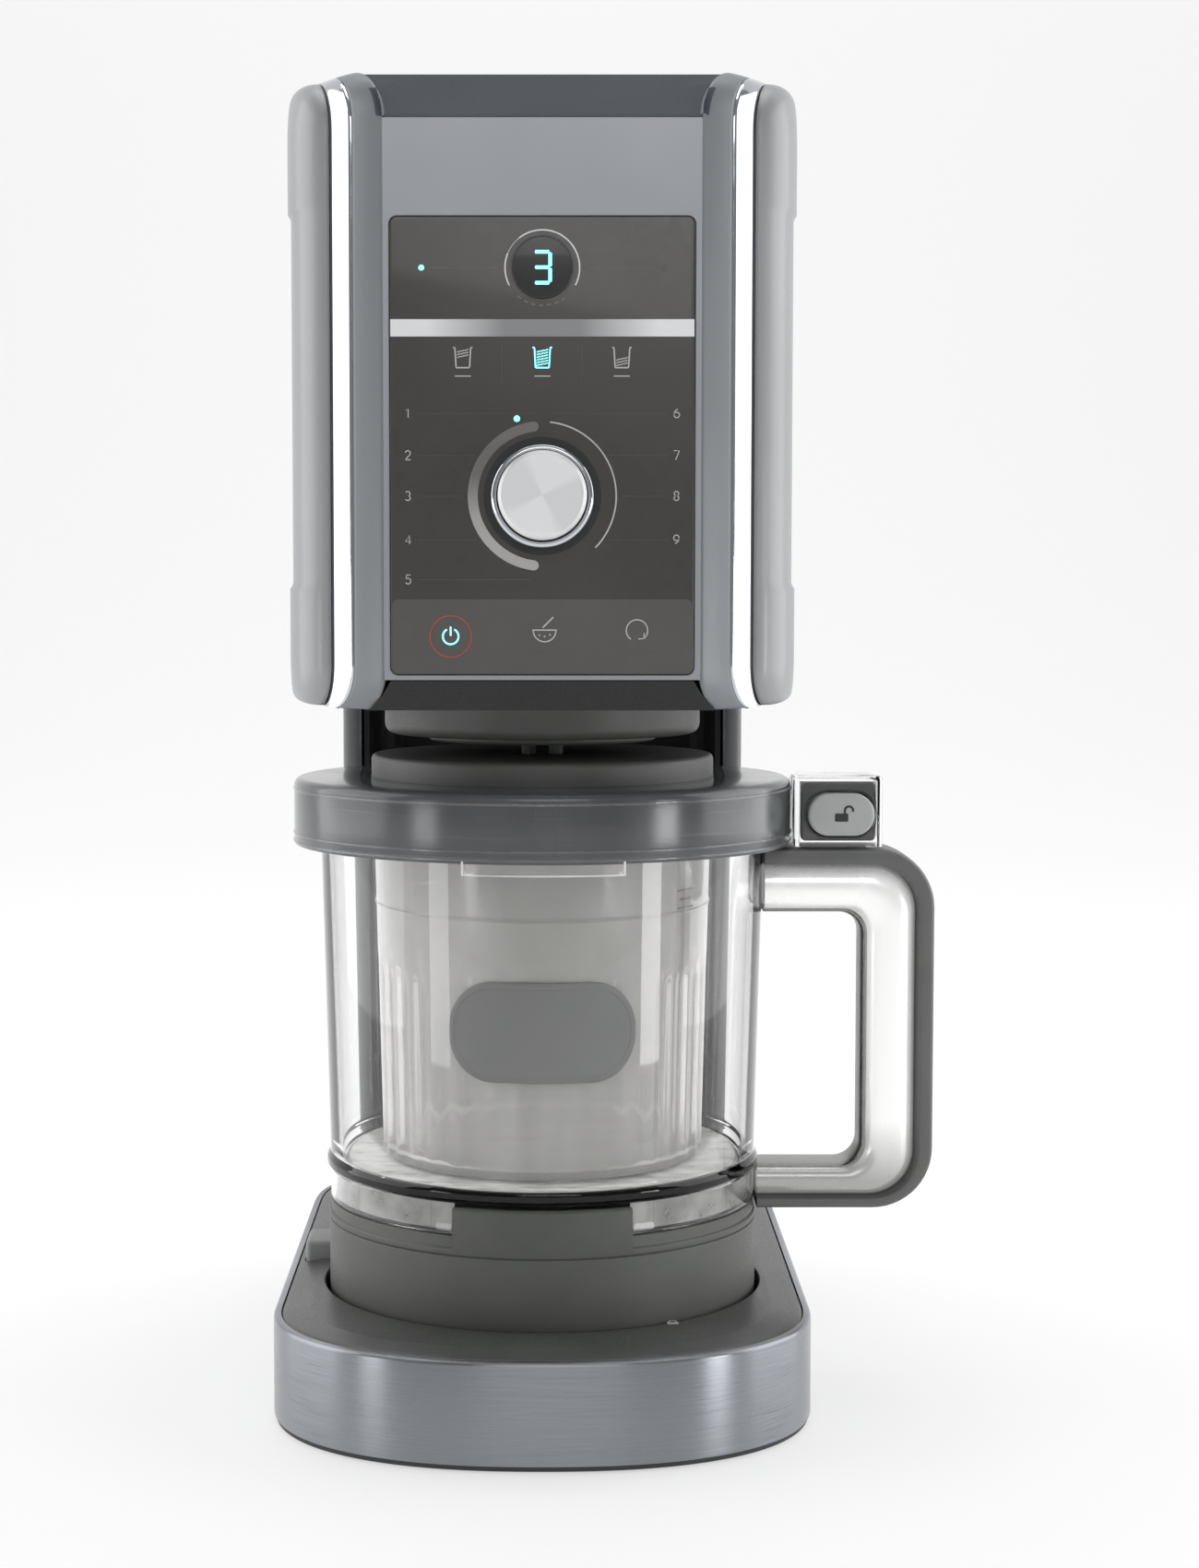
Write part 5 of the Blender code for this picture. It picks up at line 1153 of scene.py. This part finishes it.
def head_edges():
    """The edges that divide the head's side: face to cheek, cheek to trim, trim to side panel, and
    where the side panel turns into its flat wall."""
    y, top, low, half = FACE_Y, HEAD_TOP, CHIN_Z, HEAD_HALF
    face = edge_curve(47.5, y, 58.6, top, y + 23, 53.0, low, y + 9, REAR_Y)
    cheek = edge_curve(57.0, y + 5.5, 64.5, top - 0.9, y + 27, 63.5, low + 0.4, y + 14, REAR_Y)
    trim = edge_curve(64.2, y + 13.0, 69.8, top - 1.4, y + 34, 68.0, low + 0.8, y + 22, REAR_Y)
    wall = edge_curve(half, y + 40.0, half, top - 6.4, y + 52, half, low + 5.0, y + 50, REAR_Y)
    grip_low, grip_top, slope, deep = 265.5, 381.0, 1.5, 1.0
    recess = np.minimum(wall[:, 2] - grip_low, grip_top - wall[:, 2])
    front = wall[:, 1] < y + 40.5
    wall[:, 0] -= deep * np.clip(recess / slope, 0, 1) * front
    return face, cheek, trim, wall


def head_sides():
    """The cheeks, the chrome trims and the side panels: skins between the head's edges, made for the
    right side and mirrored for the left."""
    face, cheek, trim, wall = head_edges()
    gap = np.array([0.15, 0.05, 0.0])
    side_panel = joined(surface(span(trim + gap, wall, 1.0, 16)), surface(side_wall(wall)))
    skins = (
        ("cheek", surface(span(face, cheek - gap, 0.15, 12)), CHEEK_SHADED_SILVER, 2.2),
        ("trim_strip", surface(span(cheek + gap, trim - gap, 0.12, 8)), CHROME, 1.5),
        ("side_panel", side_panel, PALE, 2.2),
    )
    for label, skin, finish, thick in skins:
        for side, shape, way in (("right", skin, 1), ("left", mirror_x(skin), -1)):
            name = f"{label}_{side}"
            made = piece(f"{name}_skin", shape, finish, "root", [] if label == "cheek" else [name])
            thicken(made, thick, (way, -1, 0.2))


def side_wall(wall):
    """The flat side: rows from each point of the front edge straight back to the rear cover. Between
    265 and 381 mm up it lies 1 mm deeper, as a grip, with a short slope round it."""
    rows = wall[8:-8]
    run = np.linspace(0, 1, 9)[None]
    y = rows[:, 1:2] + (REAR_Y - rows[:, 1:2]) * run
    x = np.broadcast_to(rows[:, 0:1], y.shape).copy()
    z = np.broadcast_to(rows[:, 2:3], y.shape)
    x[:, -1] = HEAD_HALF
    return np.stack([x, y, z], -1)


def thicken(made, thick_mm, outward):
    """Gives an open skin its wall, inwards. The skin's faces are turned outwards first."""
    mesh = made.data
    if sum((p.normal.dot(Vector(outward)) * p.area for p in mesh.polygons), 0.0) < 0:
        mesh.flip_normals()
    wall = made.modifiers.new("wall", "SOLIDIFY")
    wall.thickness = thick_mm * MM
    wall.offset = -1


def face_plate():
    """The face is the flat ring between a rectangle and the panel's rounded window. The brow above it
    is ruled from side to side and leans back; at its ends it steps out to the cheeks' edges."""
    half, low, brow, top = 47.5, 238.3, HEAD_TOP - 16.6, HEAD_TOP
    window_z, face_z = (PANEL[0][2] + PANEL[1][2]) / 2, (brow + low) / 2
    window = rectangle(PANEL[1][0] + 0.2, (PANEL[1][2] - PANEL[0][2]) / 2 + 0.2, 2.4)
    outer = rectangle(half, (brow - low) / 2, 0.05)
    rows = [(outer(0), face_z, 0.0), (window(-0.25), window_z, 0.0), (window(0), window_z, 0.25)]
    rows += [(window(0), window_z, 2.4), (outer(0), face_z, 2.4)]
    grid = np.stack([standing(xz + (0, z), FACE_Y + deep) for xz, z, deep in rows])
    ring = surface(grid, wrap_rows=True, wrap_columns=True)
    piece("face_plate", ring, SILVER, "root", ["head_front_shell"], sharp=25)
    edge = head_edges()[0]
    edge = edge[(edge[:, 2] >= low) & (edge[:, 1] <= FACE_Y + 23.2)]
    edge = edge[np.argsort(edge[:, 2])]
    z = np.concatenate([[brow - 0.3, brow + 0.3], np.linspace(brow + 1.5, top - 0.5, 12), [top]])
    x_edge, y_edge = (np.interp(z, edge[:, 2], edge[:, k])[:, None] for k in (0, 1))
    y_brow = (FACE_Y + 23.0 * np.clip((z - brow) / (top - brow), 0, 1))[:, None]
    x = np.concatenate([-x_edge, np.linspace(-1, 1, 13)[None] * (x_edge - 0.5), x_edge], 1)
    y_end = np.minimum(y_brow, y_edge)
    y = np.concatenate([y_end, np.repeat(y_brow, 13, 1), y_end], 1)
    skin = surface(np.stack([x, y, np.broadcast_to(z[:, None], x.shape)], -1))
    # The brow's dark finish is painted shade over the face's silver paint.
    thicken(piece("brow_plate", skin, BROW_SHADED_SILVER, "root", sharp=50), 2.0, (0, -1, 0))


def head():
    """The whole head's shell. The chin under the face leans back by 0.35 for each step down."""
    head_sides()
    face_plate()
    low, top = CHIN_Z, 238.0
    right = [(52.5, low, 0.3), (48.2, low + 4.5, 2.0), (45.6, top, 0.4)]
    outline = rounded([(-52.5, low, 0.3), *right, (-45.6, top, 0.4), (-48.2, low + 4.5, 2.0)])
    lean = (top - outline[:, 1]) * 0.35
    grid = np.stack([standing(outline, FACE_Y + deep + lean) for deep in (0.6, 3.2)])
    chin = surface(grid, wrap_columns=True, caps=True)
    piece("chin_skin", chin, RECESS, "root", ["chin_panel"])
    covers()


def covers():
    """The back with its vents, the roof between the cheeks, and the underside round the coupling,
    whose outline is a superellipse that reaches further back than forward."""
    turn = np.linspace(0, PI / 2, 36)
    x = HEAD_HALF * np.cos(turn) ** (2 / REAR_POWER)
    y = REAR_Y + (HEAD_BACK - REAR_Y) * np.sin(turn) ** (2 / REAR_POWER)
    right = np.stack([x, y], -1)
    rear = np.concatenate([right, right[-2::-1] * (-1, 1)])
    centre = np.array([0.0, REAR_Y])

    def shrunk(inset):
        """The rear outline, drawn in towards the middle of the head."""
        return (rear - centre) * (1 - inset / HEAD_HALF) + centre

    rows = [(5.0, CHIN_Z), (1.6, CHIN_Z + 0.8), (0.0, CHIN_Z + 5)]
    rows += [(0.0, HEAD_TOP - 6.4), (0.9, HEAD_TOP - 3.2), (3.4, HEAD_TOP - 0.8), (8.0, HEAD_TOP)]
    skin = surface(np.stack([level(shrunk(inset), z) for inset, z in rows]))
    thicken(piece("rear_cover_skin", skin, PALE, "root", ["rear_cover"]), 2.2, (0, 1, 0))
    # Painted shade: the vents are not cut through; near-black blocks stand for the shade inside their
    # slots.
    vent = slab(rectangle(25, 1.4, 1.3), 0, 2.0)
    vents = [forward(vent, 0, HEAD_BACK + 0.06, 385.0 - 9 * k) for k in range(6)]
    piece("rear_vents", joined(*vents), RECESS, "root")
    half, front = 58.7, FACE_Y + 22.8
    right, left = [(half, front), (half, REAR_Y)], [(-half, REAR_Y), (-half, front)]
    roof = np.concatenate([right, shrunk(8.0), left])
    grid = np.stack([level(roof, z) for z in (HEAD_TOP - 2.0, HEAD_TOP - 0.02)])
    skin = surface(grid, wrap_columns=True, caps=True)
    piece("roof_skin", skin, SILVER, "root", ["top_cover"])
    ring, power = disc(1.0, 96)(0), 5.0
    reach = np.where(ring[:, 1] > 0, HEAD_BACK - 5, -(FACE_Y + 9))
    total = np.abs(ring[:, 0] / 68.0) ** power + np.abs(ring[:, 1] / reach) ** power
    outer, hole = ring * (total ** (-1 / power))[:, None], ring * 52.4
    rows = ((outer, 0.1), (outer, 2.5), (hole, 2.5), (hole, 0.1))
    grid = np.stack([level(xy, CHIN_Z + up) for xy, up in rows])
    underside = surface(grid, wrap_rows=True, wrap_columns=True)
    piece("head_underside", underside, DARK, "root", ["head_bottom_cover"])


def coupling():
    """The coupling's housing and collar under the head, and the works inside, which keep their CAD
    shapes."""
    low, top, r = HOUSING[0][2], HOUSING[1][2], float(HOUSING[1][0])
    inner = float(COLLAR[1][0]) + 3.3
    profile = rounded(
        [(r, top, 0), (r, low, 3.4), (inner, low, 0.8), (inner, low + 2.5, 0)]
        + [(r - 2.5, low + 4.5, 0), (r - 2.5, top, 0)]
    )
    piece("coupling_housing_skin", revolve(profile), DARK, "root", ["coupling_housing"])
    c_low, c_top, c_r = COLLAR[0][2], COLLAR[1][2], float(COLLAR[1][0])
    profile = rounded([(c_r, c_top, 0), (c_r, c_low, 1.2), (12.6, c_low, 0.8), (12.6, c_top, 0)])
    piece("coupling_collar_skin", revolve(profile), DARK, "root", ["coupling_collar"])
    # The spindle's near-black is painted shade.
    dress(SPINDLE_STEEL_PAINTED_SHADE, "spindle_shaft")
    dress(PARTS_STEEL, "spindle_bearing", "drive_gear", "motor_pinion", "carriage_plate")
    dress(PARTS_STEEL, "chassis_lower", "chassis_upper", "guide_rod_left", "guide_rod_right")
    dress(PARTS_STEEL, "lead_screw", "encoder_shaft")
    dress(MOTOR_STEEL, "drive_motor", "position_motor")
    dress(GREY, "gearbox_tray", "lead_nut")
    dress(BLACK, "dial_encoder")
    dress(BOARD, "control_board")


# ---------------------------------------------------------------- panel


def panel():
    """The panel's plate with its footer and silver band, the display, the dial and all the prints."""
    low, high, half = PANEL[0][2], PANEL[1][2], float(PANEL[1][0])
    plate = slab(rectangle(half, (high - low) / 2, 2.2, 8), 0, PANEL[1][1] - PANEL_Y, 0, 0.35)
    plate = forward(plate, 0, PANEL[1][1], (low + high) / 2)
    made = piece("panel_plate", plate, FIELD, "root", ["control_panel"])
    dial_z = float(BEZEL[0][2] + BEZEL[1][2]) / 2
    cut_away(made, forward(slab(disc(3.6, 32), -6, 8), 0, PANEL_Y, dial_z))
    y = PANEL_Y - 0.01
    strip_top = 262.5
    footer = slab(rectangle(half - 0.35, (strip_top - low - 0.35) / 2, 1.9, 8), 0, 0.06)
    piece("panel_footer", forward(footer, 0, y, (strip_top + low + 0.35) / 2), FOOTER, "root")
    band = slab(rectangle(half - 0.1, 2.55, 0.05, 1), 0, 0.1)
    piece("panel_silver_band", forward(band, 0, y, 343.15), BAND_FOIL, "root")
    display(y)
    dial(dial_z)
    dial_print(dial_z, y)
    tubs(y)
    keys(y)


def display(y):
    """The round display: a black lens in two bright arcs, with the lit digit in it."""
    z = float(LENS[0][2] + LENS[1][2]) / 2
    lens = slab(disc(9.1, 72), 0, 0.85, 0, 0.25)
    piece("display_lens_skin", forward(lens, 0, PANEL_Y - 0.1, z), LENS_BLACK, "root", ["display_lens"])
    spans = ((128, -28, 60, 0.42), (208, 158, 30, 0.42), (158, 128, 16, 0.16))
    arcs = [ribbon(arc_line(0, z, 11.1, start, end, n), pen, y) for start, end, n, pen in spans]
    piece("display_ring_print", joined(*arcs), SILVER_INK, "root")
    rim = ribbon(arc_line(0, z, 9.5, 0, 360, 73)[:-1], 0.16, y, closed=True)
    piece("display_rim_print", rim, FAINT_INK, "root")
    face = PANEL_Y - 0.96
    piece("display_digit", seven_bars((0, 1, 6, 2, 3), -2.4, z - 4.55, 9.1, face, 0.1), CYAN, "root")
    ticks = [ribbon(arc_line(0, z, 11.1, a - 3.2, a + 3.2, 5), 0.5, y) for a in range(232, 305, 12)]
    piece("display_minute_ticks", joined(*ticks), DIM_INK, "root")
    piece("ready_dot", dot(-36.0, z, 0.85, y), CYAN, "root")
    piece("done_dot", dot(36.0, z, 0.85, y), FAINT_INK, "root")
    guides = [ribbon([(-33.5, z), (-13.5, z)], 0.22, y), ribbon([(13.5, z), (33.5, z)], 0.22, y)]
    piece("display_guides", joined(*guides), DIM_INK, "root")


def dial(z):
    """The dial: a spun aluminium cap with a bright chamfer, in a chrome bezel."""
    face, back, r = CAP[0][1], CAP[1][1], float(CAP[1][0])
    length = back - face
    profile = rounded(
        [
            (3.5, 0, 0), (r - 0.4, 0, 0.3), (r, 0.6, 0.2), (r, length - 1.1, 0.25),
            (r - 1.1, length, 0.25)
        ]
        + [(r - 1.8, length - 0.12, 0.1), (0, length - 0.3, 0), (0, length - 2.5, 0)]
        + [(3.5, length - 2.5, 0)]
    )
    centre = (0, back, z)
    finish = spun_aluminium("spun_aluminium_dial", centre)
    piece("dial_cap_skin", forward(revolve(profile, 128), *centre), finish, "dial", ["knob_cap"])
    out, inn = float(BEZEL[1][0]), r + 0.45
    height = BEZEL[1][1] - BEZEL[0][1]
    ring = rounded(
        [
            (inn, 0, 0), (out, 0, 0), (out, height * 0.55, 0.5), (inn + 0.8, height, 0.6),
            (inn, height - 0.3, 0.2)
        ]
    )
    piece(
        "dial_bezel_skin", forward(revolve(ring, 128), 0, BEZEL[1][1], z), CHROME, "root",
        ["knob_bezel"]
    )


def dial_print(z, y):
    """The prints round the dial: a thick arc on the left, a thin one on the right, the program
    numbers in two columns and fine lines that lead to them."""
    well = ribbon(arc_line(0, z, 16.6, 0, 360, 97)[:-1], 2.0, y, closed=True, thick=0.05)
    piece("dial_shadow_ring", well, LENS_BLACK, "root")
    piece("scoop_arc_print", round_ended(0, z, 20.8, 93, 267, 3.0, y), arc_ink(z), "root")
    piece("drink_arc_print", ribbon(arc_line(0, z, 22.1, 84, -44, 80), 0.45, y), INK, "root")
    piece("program_dot", dot(-7.6, z + 23.0, 0.95, y), CYAN, "root")
    rows = [317.9, 305.4, 293.3, 280.3, 268.4]
    numbers, lines = [], []
    for k, row in enumerate(rows + rows[:4]):
        reach = np.sqrt(max(23.6**2 - (row - z) ** 2, 9.0))
        x, ends = (-41.0, (-37.2, -reach)) if k < 5 else (39.3, (reach, 37.6))
        numbers.append(numeral(k + 1, x, row - 1.3, 2.7, y))
        lines.append(ribbon([(ends[0], row), (ends[1], row)], 0.14, y))
    piece("program_numbers", joined(*numbers), INK, "root")
    piece("program_lines", joined(*lines), FAINT_INK, "root")


def arc_ink(dial_z):
    """Grey ink that grows lighter towards the lower end of the arc, as the printed fade does."""
    made, tree, shader, place = material("fading_grey_ink", "8A8987", Roughness=0.42)
    height = add(tree, "ShaderNodeSeparateXYZ", {"Vector": place}).outputs["Z"]
    links = {"Value": height, "From Min": (dial_z - 21) * MM, "From Max": (dial_z + 21) * MM}
    fade = add(tree, "ShaderNodeMapRange", links).outputs["Result"]
    tint(tree, shader, fade, "A5A4A3", "6E6C6A")
    relief(tree, shader, grain(tree, place, 0.6, detail=2), 0.004)
    return made


def tubs(y):
    """Three tubs that show which part of the pint is worked: its top, all of it, or its bottom."""
    z, step = 334.3, 23.7
    s = np.linspace(-1, 1, 9)
    wave = np.stack([1.7 * s, 0.35 * s + 0.12 * np.sin(3 * PI * s)], -1)
    half = np.array([(-2.9, 3.1), (-2.35, 3.0), (-2.0, -2.9)])
    wall = np.concatenate([half, half[::-1] * (-1, 1)])
    marks = (
        ("top", -step, range(3, 6), INK), ("full", 0.0, range(6), CYAN), ("bottom", step, range(3), INK)
    )
    for name, x, rows, finish in marks:
        parts = [ribbon(wall[i : i + 2] + (x, z), 0.42, y) for i in range(len(wall) - 1)]
        parts += [ribbon(wave + (x, z - 1.9 + row * 0.8), 0.3, y) for row in rows]
        piece(f"tub_mark_{name}", joined(*parts), finish, "root")
    separators = [ribbon([(x, z + 4.0), (x, z - 7.2)], 0.16, y) for x in (-step / 2 - 0.2, step / 2)]
    piece("tub_separators", joined(*separators), FAINT_INK, "root")
    under = [ribbon([(x - 2.4, z - 5.4), (x + 2.4, z - 5.4)], 0.34, y) for x in (-step, 0.0, step)]
    piece("tub_underlines", joined(*under), INK, "root")


def keys(y):
    """The touch keys along the foot of the panel: power, mix-in and another turn."""
    y -= 0.06
    x, z = -27.5, 251.4
    power = [
        ribbon(arc_line(x, z, 2.35, 118, 422, 40), 0.5, y), ribbon([(x, z + 0.2), (x, z + 2.9)], 0.5, y)
    ]
    piece("power_mark", joined(*power), CYAN, "root")
    ring = ribbon(arc_line(x, z, 6.2, 0, 360, 73)[:-1], 0.36, y, closed=True)
    piece("power_ring", ring, RED_INK, "root")
    x, z = 0.7, 252.6
    bowl_mark = [ribbon(arc_line(x, z + 0.6, 3.4, 180, 360, 30), 0.36, y)]
    bowl_mark.append(ribbon([(x - 3.7, z + 0.7), (x + 3.7, z + 0.7)], 0.36, y))
    bowl_mark.append(ribbon([(x - 0.6, z + 1.4), (x + 2.6, z + 4.6)], 0.42, y))
    bowl_mark += [dot(x + dx, z - 1.2 + dz, 0.26, y) for dx, dz in ((-1.6, 0.4), (0, 0), (1.6, 0.5))]
    piece("mix_mark", joined(*bowl_mark), INK, "root")
    x, z = 28.4, 253.2
    tip = np.radians(-50)
    end = np.array([x + 3.2 * np.cos(tip), z + 3.2 * np.sin(tip)])
    again = [ribbon(arc_line(x, z, 3.2, 235, -50, 50), 0.34, y)]
    again.append(ribbon([tuple(end + (-1.7, -0.1)), tuple(end), tuple(end + (0.1, 1.7))], 0.34, y))
    piece("turn_again_mark", joined(*again), INK, "root")
    bars = [ribbon([(x - 4.2, 246.2), (x + 4.2, 246.2)], 0.3, y) for x in (0.6, 28.6)]
    piece("key_underlines", joined(*bars), FAINT_INK, "root")


# ---------------------------------------------------------------- studio


def studio():
    """A pale sweep for a floor, soft boxes on both sides and overhead, and the camera in front."""
    scene = bpy.context.scene
    scene.view_settings.view_transform = "Standard"
    turn = np.radians(np.linspace(0, 90, 14))
    floor = np.stack([np.full(6, 0), np.linspace(-3.0, 1.6, 6), np.zeros(6)], -1)
    bend = np.stack([np.zeros(14), 1.6 + 1.4 * np.sin(turn), 1.4 * (1 - np.cos(turn))], -1)
    wall = np.stack([np.zeros(5), np.full(5, 3.0), np.linspace(1.4, 5, 5)], -1)
    side = np.concatenate([floor, bend[1:], wall[1:]])
    x = np.linspace(-5, 5, 9)
    grid = np.broadcast_to(side[:, None], (len(side), 9, 3)).copy()
    grid[..., 0] = x[None]
    points, faces = surface(grid)
    mesh = bpy.data.meshes.new("sweep")
    mesh.from_pydata(points.tolist(), [], faces)
    mesh.shade_smooth()
    sweep = bpy.data.objects.new("sweep", mesh)
    scene.collection.objects.link(sweep)
    # Backlit paper: its own even glow and a thin shadow where something stands on it.
    paper, tree, shader, place = material(
        "backlit_paper_sweep", "A8A8A8", Roughness=0.8, Emission_Strength=0.56
    )
    shader.inputs["Emission Color"].default_value = (1, 1, 1, 1)
    relief(tree, shader, grain(tree, place, 4, detail=3), 0.02)
    mesh.materials.append(paper)
    world = bpy.data.worlds.new("studio")
    world.use_nodes = True
    world.node_tree.nodes["Background"].inputs["Color"].default_value = (1, 1, 1, 1)
    # Clear walls look out on white card; gloss and paint see a dimmer room, which keeps their contrast.
    tree = world.node_tree
    way = add(tree, "ShaderNodeLightPath").outputs
    rays = {0: way["Is Transmission Ray"], 1: way["Is Camera Ray"]}
    through = add(tree, "ShaderNodeMath", rays, operation="MAXIMUM").outputs[0]
    links = {"Value": through, "To Min": 0.25, "To Max": 0.92}
    strength = add(tree, "ShaderNodeMapRange", links).outputs["Result"]
    tree.links.new(strength, tree.nodes["Background"].inputs["Strength"])
    scene.world = world
    machine = (*AXIS[:2], 0.2)
    lamps = (
        ("left_box", (-1.15, 0.1, 0.55), machine, (1.1, 1.2), 8.5),
        ("right_box", (1.15, 0.15, 0.5), machine, (1.1, 1.2), 9.0),
        ("left_strip", (-0.95, -0.75, 0.12), machine, (0.22, 0.3), 1.1),
        ("right_strip", (0.95, -0.7, 0.12), machine, (0.22, 0.3), 2.0),
        ("front_fill", (0.1, -2.0, 1.1), machine, (1.2, 0.8), 7.0),
        ("top_box", (0.0, 0.1, 1.7), machine, (1.4, 0.9), 9.0),
        ("wall_wash", (0.0, 1.0, 2.3), (0.0, 2.7, 0.7), (4.0, 0.5), 34.0),
    )
    for name, place, target, size, power in lamps:
        light = bpy.data.lights.new(name, "AREA")
        light.shape = "RECTANGLE"
        light.size, light.size_y = size
        light.energy = power
        lamp = bpy.data.objects.new(name, light)
        lamp.location = place
        lamp.rotation_euler = (Vector(target) - lamp.location).to_track_quat("-Z", "Y").to_euler()
        scene.collection.objects.link(lamp)
    camera = bpy.data.cameras.new("camera")
    camera.lens = 64.4
    camera.sensor_fit = "VERTICAL"
    camera.sensor_height = 36.0
    camera.shift_x = 0.0364706
    eye = bpy.data.objects.new("camera", camera)
    distance, height, tilt = 0.928, 0.268, np.radians(4.14)
    eye.location = (AXIS[0], AXIS[1] - distance, height)
    eye.rotation_euler = (PI / 2 - tilt, 0, 0)
    scene.collection.objects.link(eye)
    scene.camera = eye


studio()
base()
platform()
bowl()
pint()
handle()
lid()
column()
head()
coupling()
panel()
